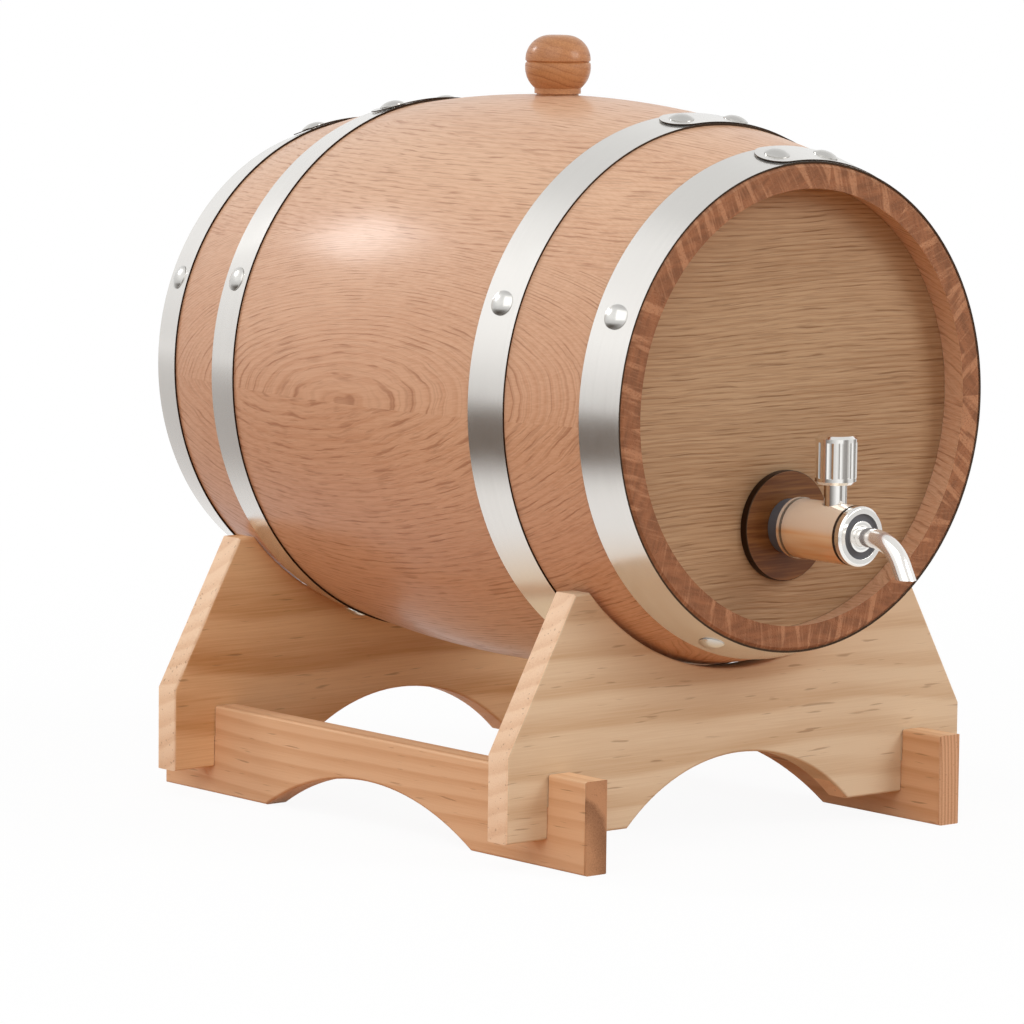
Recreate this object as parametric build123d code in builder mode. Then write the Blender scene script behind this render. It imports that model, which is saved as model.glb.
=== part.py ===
"""Oak cask liquor dispenser on a half-lapped pine stand, in millimetres.

X is right and Z is up. The cask lies along Y with its tap towards -Y. The origin is on the
floor, under the middle of the whole object from the rear chime to the tip of the spout.
"""
from build123d import *
from math import cos, degrees, radians, sin, sqrt
import os

os.makedirs("parts", exist_ok=True)

# ---------------------------------------------------------------- cask: staves and heads
CASK_LENGTH = 233.0            # chime to chime
BILGE_RADIUS = 91.3            # outside, at the middle
BILGE_RISE = 16.3              # by which the middle is wider than the ends
STAVE_THICKNESS = 12.0         # at the middle
CHIME_THICKNESS = 7.5          # at the ends
CHIME_BEVEL = 0.8              # small bevel round each end of the cask
STAVE_WIDTHS = [30, 35, 34, 32, 29, 29, 30, 29, 29, 28, 28]    # degrees; one more closes the ring
FIRST_JOINT_ANGLE = 83.0       # degrees from +X, just right of the bung
HEAD_RECESS = 10.2             # from the chime's end in to the head
HEAD_THICKNESS = 9.0
HEAD_TONGUE = 5.0              # thickness of the edge that sits in the croze
CROZE_DEPTH = 3.2
HEAD_CLEARANCE = 0.1           # round the tongue in its croze

# ---------------------------------------------------------------- hoops and their rivets
HOOP_WIDTH = 14.0
HOOP_THICKNESS = 0.6
HOOP_FIT = 0.08                # keeps the straight cone clear of the curved staves
CHIME_HOOP_SETBACK = 0.4       # from the end of the staves to the hoop's edge
QUARTER_HOOP_SETBACK = 49.9    # from the end of the staves to the hoop's middle
LAP_SPREAD = 15.0              # degrees between the two rivets of the lap
LAP_RUNOUT = 20.0              # degrees from the second rivet to where the lap dies out
SINGLE_RIVETS = 3              # on each hoop, besides the two of its lap
SINGLE_RIVET_STEP = 90.0       # degrees from one to the next
RIVET_HEAD_RADIUS = 4.0
RIVET_HEAD_HEIGHT = 1.5
RIVET_SHANK_RADIUS = 1.2
RIVET_SHANK_DEPTH = 5.5        # into the stave
RIVET_CLEARANCE = 0.06

# ---------------------------------------------------------------- bung
BUNG_OFFSET = 3.0              # behind the cask's middle
BUNG_KNOB_RADIUS = 10.5
BUNG_KNOB_HEIGHT = 17.0
BUNG_TOP_FLAT = 2.6            # radius of the small flat on top
BUNG_GROOVE_HEIGHT = 8.4       # above the collar
BUNG_GROOVE_DEPTH = 0.5
BUNG_LOWER_BULGE = 1.1         # of the knob's side below the groove
BUNG_CROWN_BULGE = 2.4         # and above it
BUNG_COLLAR_RADIUS = 7.5
BUNG_COLLAR_HEIGHT = 1.7
BUNG_COLLAR_GAP = 0.5          # between the collar and the stave
BUNG_LEDGE = 0.7               # of the collar round the plug
BUNG_PLUG_TAPER = 0.8          # of the plug's radius, collar to tip
BUNG_PLUG_LENGTH = 16.0
BUNG_CLEARANCE = 0.3

# ---------------------------------------------------------------- stand
BOARD_THICKNESS = 9.5
BOARD_GAP = 6.15               # from the quarter hoop to the board beside it
BOARD_HALF_WIDTH = 95.3
BOARD_FOOT_HEIGHT = 8.8        # the boards stop this far above the floor
BOARD_SHOULDER_HEIGHT = 35.6
BOARD_HORN_DROP = 55.5         # flat top of the horns, below the cask's axis
BOARD_HORN_FLAT = 6.2          # width of that flat
BOARD_ARCH_HALF_WIDTH = 46.5
BOARD_ARCH_HEIGHT = 28.2       # crown of the arch above the floor
BOARD_WAIST = 26.76            # wood between the arch and the cradle
CRADLE_CLEARANCE = 0.3         # between the cask and the cradle
RAIL_OVERHANG = 17.75          # past the outer face of each board
RAIL_HEIGHT = 29.0
RAIL_THICKNESS = 9.0
RAIL_INSET = 16.3              # from the board's end to the rail's outer face
RAIL_ARCH_HALF_LENGTH = 52.2
RAIL_ARCH_HEIGHT = 14.6
LAP_CLEARANCE = 0.1            # on each side of a half-lap
STAND_EDGE_RADIUS = 0.9

# ---------------------------------------------------------------- tap
TAP_DROP = 37.2                # tap's axis below the cask's axis
ESCUTCHEON_RADIUS = 17.2
ESCUTCHEON_THICKNESS = 3.0
ESCUTCHEON_EDGE_RADIUS = 0.5
OUTER_GASKET_INSET = 0.7       # inside the body's edge
OUTER_GASKET_THICKNESS = 5.0
TAP_BODY_RADIUS = 9.3
TAP_BODY_LENGTH = 25.4
TAP_LIP_LENGTH = 1.2           # raised lip next to the gasket
TAP_LIP_HEIGHT = 0.25
TAP_NECK_LENGTH = 0.8          # groove behind the lip
TAP_NECK_DEPTH = 0.5
SHANK_RADIUS = 6.0
SHANK_THREAD_PITCH = 1.75
SHANK_THREAD_DEPTH = 0.5
SHANK_TAIL = 3.0               # past the lock nut
SHANK_BORE_RADIUS = 3.4
SHANK_CLEARANCE = 0.1
INNER_GASKET_RADIUS = 12.0
INNER_GASKET_THICKNESS = 2.5
WASHER_RADIUS = 11.0
WASHER_THICKNESS = 1.2
NUT_WALL = 3.4                 # from its bore to its flats
NUT_THICKNESS = 6.0
TAP_WALL_THICKNESS = 2.2       # of the body round the valve's chamber
VALVE_SHOULDER = 6.4           # from the body's back to the chamber
VALVE_WALL_THICKNESS = 3.0     # between the shank's bore and the chamber
SEAT_SEAL_THICKNESS = 1.5
PORT_RADIUS = 1.6
PORT_OFFSET = 2.6              # of each port from the tap's axis
ROTOR_CLEARANCE = 0.08
ROTOR_END_PLAY = 0.3
OUTLET_POCKET_RADIUS = 4.4
OUTLET_POCKET_DEPTH = 3.0
O_RING_RADIUS = 0.55           # of the ring's round section
O_RING_SETBACK = 1.6           # from each end of the rotor to its groove's middle
STEM_RADIUS = 3.6
STEM_SPIGOT_RADIUS = 2.2
STEM_SPIGOT_DEPTH = 3.0
STEM_SETBACK = 9.1             # of the handle, from the body's front
STEM_SLOT_CLEARANCE = 0.35     # on each side of the stem in the body's slot
HANDLE_TURN = 90.0             # degrees, from shut to open
STEM_SHOWN = 5.8               # between the body and the knob
KNOB_HEIGHT = 15.0
KNOB_RADIUS = 6.45
KNOB_BEVEL = 0.9
KNOB_FLUTES = 12
KNOB_FLUTE_RADIUS = 1.7
KNOB_FLUTE_DEPTH = 0.5
KNOB_FLUTE_MARGIN = 2.0        # plain band at each end of the flutes
KNOB_SOCKET_DEPTH = 6.0
CAP_THICKNESS = 3.0
CAP_BEVEL = 0.7
CAP_SPIGOT_LENGTH = 1.0
CAP_RIM_WIDTH = 2.3            # round the groove in the cap's face
CAP_GROOVE_WIDTH = 2.2
CAP_GROOVE_DEPTH = 1.0
SPOUT_RADIUS = 3.0
SPOUT_BORE_RADIUS = 2.2
SPOUT_RUN = 5.5                # straight part in front of the cap
SPOUT_BEND_RADIUS = 13.5
SPOUT_BEND_ANGLE = 62.0
SPOUT_TIP_DROP = 11.2          # tip's cut below the tap's axis

# ---------------------------------------------------------------- places along the cask
CHIME_RADIUS = BILGE_RADIUS - BILGE_RISE            # outside, at the ends
STAVE_WIDTHS.append(360 - sum(STAVE_WIDTHS))
HEAD_FACE = CASK_LENGTH / 2 - HEAD_RECESS
HEAD_BACK = HEAD_FACE - HEAD_THICKNESS
TONGUE_MIDDLE = HEAD_FACE - HEAD_THICKNESS / 2
CHIME_HOOP_OFFSET = CASK_LENGTH / 2 - CHIME_HOOP_SETBACK - HOOP_WIDTH / 2
QUARTER_HOOP_OFFSET = CASK_LENGTH / 2 - QUARTER_HOOP_SETBACK
BOARD_OFFSET = QUARTER_HOOP_OFFSET + HOOP_WIDTH / 2 + BOARD_GAP + BOARD_THICKNESS / 2

# ---------------------------------------------------------------- places along the tap
GASKET_BACK = HEAD_FACE + ESCUTCHEON_THICKNESS
BODY_BACK = GASKET_BACK + OUTER_GASKET_THICKNESS
BODY_FRONT = BODY_BACK + TAP_BODY_LENGTH
CAP_FRONT = BODY_FRONT + CAP_THICKNESS
STEM_OFFSET = BODY_FRONT - STEM_SETBACK
BEND_RADIANS = radians(SPOUT_BEND_ANGLE)
BEND_END = CAP_FRONT + SPOUT_RUN + SPOUT_BEND_RADIUS * sin(BEND_RADIANS)
BEND_DROP = SPOUT_BEND_RADIUS * (1 - cos(BEND_RADIANS))
TIP_RUN = (SPOUT_TIP_DROP - BEND_DROP) / sin(BEND_RADIANS)
TIP_OFFSET = BEND_END + TIP_RUN * cos(BEND_RADIANS)
SPOUT_REACH = TIP_OFFSET + SPOUT_RADIUS / sin(BEND_RADIANS)
MIDDLE_Y = (SPOUT_REACH - CASK_LENGTH / 2) / 2      # middle of the cask in the part's frame


def arc_radius(rise, half_span):
    """Radius of the arc with this rise over this half span."""
    return (half_span**2 + rise**2) / (2 * rise)


def outer_radius(y):
    """Outside radius of the cask, y from its middle."""
    bend = arc_radius(BILGE_RADIUS - CHIME_RADIUS, CASK_LENGTH / 2)
    return BILGE_RADIUS - bend + sqrt(bend**2 - y**2)


def inner_radius(y):
    """Inside radius of the staves, y from the middle of the cask."""
    middle = BILGE_RADIUS - STAVE_THICKNESS
    bend = arc_radius(middle - CHIME_RADIUS + CHIME_THICKNESS, CASK_LENGTH / 2)
    return middle - bend + sqrt(bend**2 - y**2)


# ---------------------------------------------------------------- heights
CRADLE_RADIUS = outer_radius(BOARD_OFFSET - BOARD_THICKNESS / 2) + CRADLE_CLEARANCE
AXIS_HEIGHT = BOARD_ARCH_HEIGHT + BOARD_WAIST + CRADLE_RADIUS       # of the cask's axis
TAP_HEIGHT = AXIS_HEIGHT - TAP_DROP                                 # of the tap's axis
LAP_HEIGHT = (BOARD_FOOT_HEIGHT + RAIL_HEIGHT) / 2                  # of the half-laps
CASK_AXIS = Axis((0, MIDDLE_Y, AXIS_HEIGHT), (0, -1, 0))
TAP_AXIS = Axis((0, MIDDLE_Y, TAP_HEIGHT), (0, 1, 0))


def radial_plane(angle):
    """Plane through the cask's axis: x runs along the cask, y out at this angle from +X."""
    turn = radians(angle)
    return Plane((0, MIDDLE_Y, AXIS_HEIGHT), x_dir=(0, 1, 0), z_dir=(sin(turn), 0, -cos(turn)))


def tap_plane(offset):
    """Plane across the tap's axis, this far in front of the cask's middle, facing -Y."""
    return Plane((0, MIDDLE_Y - offset, TAP_HEIGHT), x_dir=(1, 0, 0), z_dir=(0, -1, 0))


# ================================================================ hoops: shared geometry
class Hoop:
    """Where one hoop lies: the cone of its strap, its lap and its rivets."""

    def __init__(self, name, middle, lap_angle, side_angle):
        self.name = name
        self.middle = middle
        self.first = middle - HOOP_WIDTH / 2
        self.last = middle + HOOP_WIDTH / 2
        self.first_radius = outer_radius(self.first) + HOOP_FIT
        self.last_radius = outer_radius(self.last) + HOOP_FIT
        self.slope = (self.last_radius - self.first_radius) / HOOP_WIDTH
        self.lap_angle = lap_angle
        self.lap_start = lap_angle + LAP_SPREAD / 2
        self.lap_end = lap_angle - LAP_SPREAD / 2 - LAP_RUNOUT
        self.shift_angle = self.lap_end + 90
        self.shift = HOOP_THICKNESS / sin(radians(self.lap_start - self.lap_end))
        self.rivet_angles = [self.lap_start, self.lap_start - LAP_SPREAD]
        for number in range(SINGLE_RIVETS):
            self.rivet_angles.append(side_angle + number * SINGLE_RIVET_STEP)

    def lift(self, angle):
        """Height of the lap's outer face over the plain strap at this angle."""
        inside = self.lap_end < angle <= self.lap_start
        return self.shift * sin(radians(angle - self.lap_end)) if inside else 0.0

    def seat(self, angle):
        """Plane on the strap's outer face, its z along the rivet that goes there."""
        turn = radians(angle)
        radius = (self.first_radius + self.last_radius) / 2 + HOOP_THICKNESS + self.lift(angle)
        origin = (radius * cos(turn), MIDDLE_Y + self.middle, AXIS_HEIGHT + radius * sin(turn))
        normal = Vector(cos(turn), -self.slope, sin(turn)).normalized()
        return Plane(origin, x_dir=(-sin(turn), 0, cos(turn)), z_dir=normal)


# name, middle along the cask, angle of its lap and of its first single rivet
HOOPS = [
    Hoop("front_chime", -CHIME_HOOP_OFFSET, 87.5, 156.6),
    Hoop("front_quarter", -QUARTER_HOOP_OFFSET, 88.0, 158.0),
    Hoop("rear_quarter", QUARTER_HOOP_OFFSET, 94.0, 159.0),
    Hoop("rear_chime", CHIME_HOOP_OFFSET, 95.0, 158.5),
]
RIVET_LENGTH = HOOP_THICKNESS + RIVET_SHANK_DEPTH
RIVET_HOLE_RADIUS = RIVET_SHANK_RADIUS + RIVET_CLEARANCE
RIVET_DOME_RADIUS = arc_radius(RIVET_HEAD_HEIGHT, RIVET_HEAD_RADIUS)


# ================================================================ staves
def stave_outline():
    """Long section of a stave, from chime to chime, with a croze near each end."""
    end = CASK_LENGTH / 2
    bevel = end - CHIME_BEVEL
    near = TONGUE_MIDDLE - HEAD_TONGUE / 2 - HEAD_CLEARANCE
    far = TONGUE_MIDDLE + HEAD_TONGUE / 2 + HEAD_CLEARANCE
    floor = inner_radius(HEAD_FACE) + CROZE_DEPTH + HEAD_CLEARANCE
    ThreePointArc((-bevel, outer_radius(bevel)), (0, BILGE_RADIUS), (bevel, outer_radius(bevel)))
    ThreePointArc((-near, inner_radius(near)), (0, inner_radius(0)), (near, inner_radius(near)))
    for side in (-1, 1):
        Polyline(
            (side * bevel, outer_radius(bevel)),
            (side * end, outer_radius(end) - CHIME_BEVEL),
            (side * end, inner_radius(end)),
            (side * far, inner_radius(far)),
            (side * far, floor),
            (side * near, floor),
            (side * near, inner_radius(near)),
        )


BUNG_PLUG_RADIUS = BUNG_COLLAR_RADIUS - BUNG_LEDGE      # at the collar
BUNG_PLUG_TIP_RADIUS = BUNG_PLUG_RADIUS - BUNG_PLUG_TAPER
COLLAR_FOOT = AXIS_HEIGHT + BILGE_RADIUS + BUNG_COLLAR_GAP
BUNG_Y = MIDDLE_Y + BUNG_OFFSET
PLUG_TIP = COLLAR_FOOT - BUNG_PLUG_LENGTH


def meets(angle, radius, start, width):
    """Whether a hole of this radius at this angle reaches a stave from start over width."""
    margin = degrees(radius / (CHIME_RADIUS - CHIME_THICKNESS))
    return (angle - start + margin) % 360 < width + 2 * margin


joint_angle = FIRST_JOINT_ANGLE
for number, width in enumerate(STAVE_WIDTHS, start=1):
    with BuildPart() as stave:
        with BuildSketch(radial_plane(joint_angle)):
            with BuildLine():
                stave_outline()
            make_face()
        revolve(axis=CASK_AXIS, revolution_arc=width)
        if meets(90, BUNG_PLUG_RADIUS + BUNG_CLEARANCE, joint_angle, width):
            with BuildSketch(Plane.XY.offset(COLLAR_FOOT)):
                with Locations((0, BUNG_Y)):
                    Circle(BUNG_PLUG_RADIUS + BUNG_CLEARANCE)
            with BuildSketch(Plane.XY.offset(PLUG_TIP)):
                with Locations((0, BUNG_Y)):
                    Circle(BUNG_PLUG_TIP_RADIUS + BUNG_CLEARANCE)
            loft(mode=Mode.SUBTRACT)
        for hoop in HOOPS:
            for angle in hoop.rivet_angles:
                if meets(angle, RIVET_HOLE_RADIUS, joint_angle, width):
                    with Locations(hoop.seat(angle)):
                        Cylinder(
                            RIVET_HOLE_RADIUS,
                            RIVET_LENGTH + RIVET_CLEARANCE,
                            align=(Align.CENTER, Align.CENTER, Align.MAX),
                            mode=Mode.SUBTRACT,
                        )
    stave.part.label = f"stave_{number:02d}"
    export_step(stave.part, f"parts/stave_{number:02d}.step")
    joint_angle += width


# ================================================================ heads
def head_outline(side):
    """Half section of a head at the front (side -1) or rear (side 1)."""
    tongue_front = TONGUE_MIDDLE + HEAD_TONGUE / 2
    tongue_back = TONGUE_MIDDLE - HEAD_TONGUE / 2
    face_radius = inner_radius(HEAD_FACE) - HEAD_CLEARANCE
    rim_radius = inner_radius(HEAD_FACE) + CROZE_DEPTH
    bevel = tongue_back - HEAD_BACK
    Polyline(
        (side * HEAD_FACE, 0),
        (side * HEAD_FACE, face_radius),
        (side * tongue_front, face_radius),
        (side * tongue_front, rim_radius),
        (side * tongue_back, rim_radius),
        (side * tongue_back, face_radius),
        (side * HEAD_BACK, face_radius - bevel),
        (side * HEAD_BACK, 0),
        close=True,
    )


with BuildPart() as head_front:
    with BuildSketch(radial_plane(90)):
        with BuildLine():
            head_outline(-1)
        make_face()
    revolve(axis=CASK_AXIS)
    with BuildSketch(tap_plane(HEAD_BACK)):
        Circle(SHANK_RADIUS + SHANK_CLEARANCE)
    extrude(amount=HEAD_THICKNESS, mode=Mode.SUBTRACT)
head_front.part.label = "head_front"
export_step(head_front.part, "parts/head_front.step")

with BuildPart() as head_rear:
    with BuildSketch(radial_plane(90)):
        with BuildLine():
            head_outline(1)
        make_face()
    revolve(axis=CASK_AXIS)
head_rear.part.label = "head_rear"
export_step(head_rear.part, "parts/head_rear.step")


# ================================================================ hoops and rivets
def strap_section(hoop, bottom, top):
    """Section of a strap between two heights above the hoop's inner cone."""
    Polyline(
        (hoop.first, hoop.first_radius + bottom),
        (hoop.last, hoop.last_radius + bottom),
        (hoop.last, hoop.last_radius + top),
        (hoop.first, hoop.first_radius + top),
        close=True,
    )


def lap_of(hoop):
    """Outer layer of a lapped strap: the same cone moved sideways, with a rounded end."""
    turn = radians(hoop.shift_angle)
    with BuildPart() as layer:
        with BuildSketch(radial_plane(90)):
            with BuildLine():
                strap_section(hoop, HOOP_THICKNESS / 2, HOOP_THICKNESS)
            make_face()
        revolve(axis=CASK_AXIS)
    moved = Pos(hoop.shift * cos(turn), 0, hoop.shift * sin(turn)) * layer.part
    reach = outer_radius(hoop.middle) * radians(hoop.lap_start - hoop.lap_end)
    with BuildPart() as tongue:
        with BuildSketch(hoop.seat(hoop.lap_start)):
            Circle(HOOP_WIDTH / 2)
            Rectangle(reach, HOOP_WIDTH, align=(Align.MAX, Align.CENTER))
        extrude(amount=reach / 2, both=True)
    return moved & tongue.part


with BuildPart() as rivet:
    with BuildSketch(Plane.XZ):
        with BuildLine():
            dome = RadiusArc((RIVET_HEAD_RADIUS, 0), (0, RIVET_HEAD_HEIGHT), -RIVET_DOME_RADIUS)
            Polyline(
                dome @ 1,
                (0, -RIVET_LENGTH),
                (RIVET_SHANK_RADIUS, -RIVET_LENGTH),
                (RIVET_SHANK_RADIUS, 0),
                dome @ 0,
            )
        make_face()
    revolve(axis=Axis.Z)

for hoop in HOOPS:
    lap = lap_of(hoop)
    with BuildPart() as strap:
        with BuildSketch(radial_plane(90)):
            with BuildLine():
                strap_section(hoop, 0, HOOP_THICKNESS)
            make_face()
        revolve(axis=CASK_AXIS)
        add(lap)
        with Locations([hoop.seat(angle) for angle in hoop.rivet_angles]):
            Cylinder(RIVET_HOLE_RADIUS, 6 * HOOP_THICKNESS, mode=Mode.SUBTRACT)
    strap.part.label = f"hoop_{hoop.name}"
    export_step(strap.part, f"parts/hoop_{hoop.name}.step")

    with BuildPart() as rivets:
        with Locations([hoop.seat(angle) for angle in hoop.rivet_angles]):
            add(rivet.part)
    rivets.part.label = f"rivets_{hoop.name}"
    export_step(rivets.part, f"parts/rivets_{hoop.name}.step")

# ================================================================ bung
KNOB_BASE = COLLAR_FOOT + BUNG_COLLAR_HEIGHT
GROOVE_MIDDLE = KNOB_BASE + BUNG_GROOVE_HEIGHT
with BuildPart() as bung:
    with BuildSketch(Plane.XZ.offset(-BUNG_Y)):
        with BuildLine():
            SagittaArc(
                (BUNG_COLLAR_RADIUS, KNOB_BASE),
                (BUNG_KNOB_RADIUS, GROOVE_MIDDLE - BUNG_GROOVE_DEPTH),
                -BUNG_LOWER_BULGE,
            )
            Polyline(
                (BUNG_KNOB_RADIUS, GROOVE_MIDDLE - BUNG_GROOVE_DEPTH),
                (BUNG_KNOB_RADIUS - BUNG_GROOVE_DEPTH, GROOVE_MIDDLE),
                (BUNG_KNOB_RADIUS, GROOVE_MIDDLE + BUNG_GROOVE_DEPTH),
            )
            SagittaArc(
                (BUNG_KNOB_RADIUS, GROOVE_MIDDLE + BUNG_GROOVE_DEPTH),
                (BUNG_TOP_FLAT, KNOB_BASE + BUNG_KNOB_HEIGHT),
                -BUNG_CROWN_BULGE,
            )
            Polyline(
                (BUNG_TOP_FLAT, KNOB_BASE + BUNG_KNOB_HEIGHT),
                (0, KNOB_BASE + BUNG_KNOB_HEIGHT),
                (0, PLUG_TIP),
                (BUNG_PLUG_TIP_RADIUS, PLUG_TIP),
                (BUNG_PLUG_RADIUS, COLLAR_FOOT),
                (BUNG_COLLAR_RADIUS, COLLAR_FOOT),
                (BUNG_COLLAR_RADIUS, KNOB_BASE),
            )
        make_face()
    revolve(axis=Axis((0, BUNG_Y, 0), (0, 0, 1)))
bung.part.label = "bung"
export_step(bung.part, "parts/bung.step")

# ================================================================ stand
HORN_TOP = AXIS_HEIGHT - BOARD_HORN_DROP
HORN_INNER = sqrt(CRADLE_RADIUS**2 - BOARD_HORN_DROP**2)
HORN_OUTER = HORN_INNER + BOARD_HORN_FLAT
RAIL_MIDDLE = BOARD_HALF_WIDTH - RAIL_INSET - RAIL_THICKNESS / 2
RAIL_END = BOARD_OFFSET + BOARD_THICKNESS / 2 + RAIL_OVERHANG       # from the cask's middle


def board_outline():
    """Outline of a board: cradle on top, horns, sloping shoulders, feet and the low arch."""
    ThreePointArc(
        (-HORN_INNER, HORN_TOP),
        (0, AXIS_HEIGHT - CRADLE_RADIUS),
        (HORN_INNER, HORN_TOP),
    )
    ThreePointArc(
        (-BOARD_ARCH_HALF_WIDTH, BOARD_FOOT_HEIGHT),
        (0, BOARD_ARCH_HEIGHT),
        (BOARD_ARCH_HALF_WIDTH, BOARD_FOOT_HEIGHT),
    )
    for side in (-1, 1):
        Polyline(
            (side * HORN_INNER, HORN_TOP),
            (side * HORN_OUTER, HORN_TOP),
            (side * BOARD_HALF_WIDTH, BOARD_SHOULDER_HEIGHT),
            (side * BOARD_HALF_WIDTH, BOARD_FOOT_HEIGHT),
            (side * BOARD_ARCH_HALF_WIDTH, BOARD_FOOT_HEIGHT),
        )


for place, offset in (("front", -BOARD_OFFSET), ("rear", BOARD_OFFSET)):
    with BuildPart() as board:
        with BuildSketch(Plane.XZ.offset(-MIDDLE_Y - offset)):
            with BuildLine():
                board_outline()
            make_face()
        extrude(amount=BOARD_THICKNESS / 2, both=True)
        fillet(board.faces().filter_by(Axis.Y).edges(), STAND_EDGE_RADIUS)
        with BuildSketch(Plane.XY.offset(BOARD_FOOT_HEIGHT)):
            with Locations((-RAIL_MIDDLE, MIDDLE_Y + offset), (RAIL_MIDDLE, MIDDLE_Y + offset)):
                Rectangle(RAIL_THICKNESS + 2 * LAP_CLEARANCE, BOARD_THICKNESS)
        extrude(amount=LAP_HEIGHT - BOARD_FOOT_HEIGHT, mode=Mode.SUBTRACT)
    board.part.label = f"stand_board_{place}"
    export_step(board.part, f"parts/stand_board_{place}.step")

for place, middle in (("left", -RAIL_MIDDLE), ("right", RAIL_MIDDLE)):
    with BuildPart() as rail:
        with BuildSketch(Plane((middle, MIDDLE_Y, 0), x_dir=(0, 1, 0), z_dir=(1, 0, 0))):
            with BuildLine():
                foot = RAIL_ARCH_HALF_LENGTH
                ThreePointArc((-foot, 0), (0, RAIL_ARCH_HEIGHT), (foot, 0))
                Polyline(
                    (foot, 0),
                    (RAIL_END, 0),
                    (RAIL_END, RAIL_HEIGHT),
                    (-RAIL_END, RAIL_HEIGHT),
                    (-RAIL_END, 0),
                    (-foot, 0),
                )
            make_face()
        extrude(amount=RAIL_THICKNESS / 2, both=True)
        fillet(rail.faces().filter_by(Axis.X).edges(), STAND_EDGE_RADIUS)
        with BuildSketch(Plane.XY.offset(RAIL_HEIGHT)):
            with Locations((middle, MIDDLE_Y - BOARD_OFFSET), (middle, MIDDLE_Y + BOARD_OFFSET)):
                Rectangle(RAIL_THICKNESS, BOARD_THICKNESS + 2 * LAP_CLEARANCE)
        extrude(amount=LAP_HEIGHT - RAIL_HEIGHT, mode=Mode.SUBTRACT)
    rail.part.label = f"stand_rail_{place}"
    export_step(rail.part, f"parts/stand_rail_{place}.step")

# ================================================================ tap: sealing stack
with BuildPart() as escutcheon:
    with BuildSketch(tap_plane(HEAD_FACE)):
        Circle(ESCUTCHEON_RADIUS)
        Circle(SHANK_RADIUS + SHANK_CLEARANCE, mode=Mode.SUBTRACT)
    extrude(amount=ESCUTCHEON_THICKNESS)
    front_edges = escutcheon.edges().filter_by(GeomType.CIRCLE).group_by(Axis.Y)[0]
    fillet(front_edges.sort_by(SortBy.RADIUS)[-1], ESCUTCHEON_EDGE_RADIUS)
escutcheon.part.label = "tap_escutcheon"
export_step(escutcheon.part, "parts/tap_escutcheon.step")

with BuildPart() as outer_gasket:
    with BuildSketch(tap_plane(GASKET_BACK)):
        Circle(TAP_BODY_RADIUS - OUTER_GASKET_INSET)
        Circle(SHANK_RADIUS + SHANK_CLEARANCE, mode=Mode.SUBTRACT)
    extrude(amount=OUTER_GASKET_THICKNESS)
outer_gasket.part.label = "tap_outer_gasket"
export_step(outer_gasket.part, "parts/tap_outer_gasket.step")

INNER_STACK = HEAD_BACK - INNER_GASKET_THICKNESS
with BuildPart() as inner_gasket:
    with BuildSketch(tap_plane(INNER_STACK)):
        Circle(INNER_GASKET_RADIUS)
        Circle(SHANK_RADIUS + SHANK_CLEARANCE, mode=Mode.SUBTRACT)
    extrude(amount=INNER_GASKET_THICKNESS)
inner_gasket.part.label = "tap_inner_gasket"
export_step(inner_gasket.part, "parts/tap_inner_gasket.step")

with BuildPart() as washer:
    with BuildSketch(tap_plane(INNER_STACK - WASHER_THICKNESS)):
        Circle(WASHER_RADIUS)
        Circle(SHANK_RADIUS + SHANK_CLEARANCE, mode=Mode.SUBTRACT)
    extrude(amount=WASHER_THICKNESS)
washer.part.label = "tap_washer"
export_step(washer.part, "parts/tap_washer.step")

NUT_BACK = INNER_STACK - WASHER_THICKNESS - NUT_THICKNESS
with BuildPart() as lock_nut:
    with BuildSketch(tap_plane(NUT_BACK)):
        RegularPolygon(SHANK_RADIUS + SHANK_CLEARANCE + NUT_WALL, 6, major_radius=False)
        Circle(SHANK_RADIUS + SHANK_CLEARANCE, mode=Mode.SUBTRACT)
    extrude(amount=NUT_THICKNESS)
lock_nut.part.label = "tap_lock_nut"
export_step(lock_nut.part, "parts/tap_lock_nut.step")

# ================================================================ tap: body and valve
CHAMBER_BACK = BODY_BACK + VALVE_SHOULDER
CHAMBER_RADIUS = TAP_BODY_RADIUS - TAP_WALL_THICKNESS
ROTOR_BACK = CHAMBER_BACK + SEAT_SEAL_THICKNESS
ROTOR_FRONT = BODY_FRONT - CAP_SPIGOT_LENGTH - ROTOR_END_PLAY
ROTOR_RADIUS = CHAMBER_RADIUS - ROTOR_CLEARANCE
SHANK_END = NUT_BACK - SHANK_TAIL
SLOT_HALF_WIDTH = STEM_RADIUS + STEM_SLOT_CLEARANCE
stem_plane = Plane((0, MIDDLE_Y - STEM_OFFSET, TAP_HEIGHT), x_dir=(1, 0, 0), z_dir=(0, 0, 1))
open_plane = Plane((0, MIDDLE_Y - STEM_OFFSET, TAP_HEIGHT), x_dir=(0, 1, 0), z_dir=(1, 0, 0))
GROOVE_LENGTH = SHANK_THREAD_PITCH / 2
groove_count = int((BODY_BACK - SHANK_END) / SHANK_THREAD_PITCH)

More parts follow.
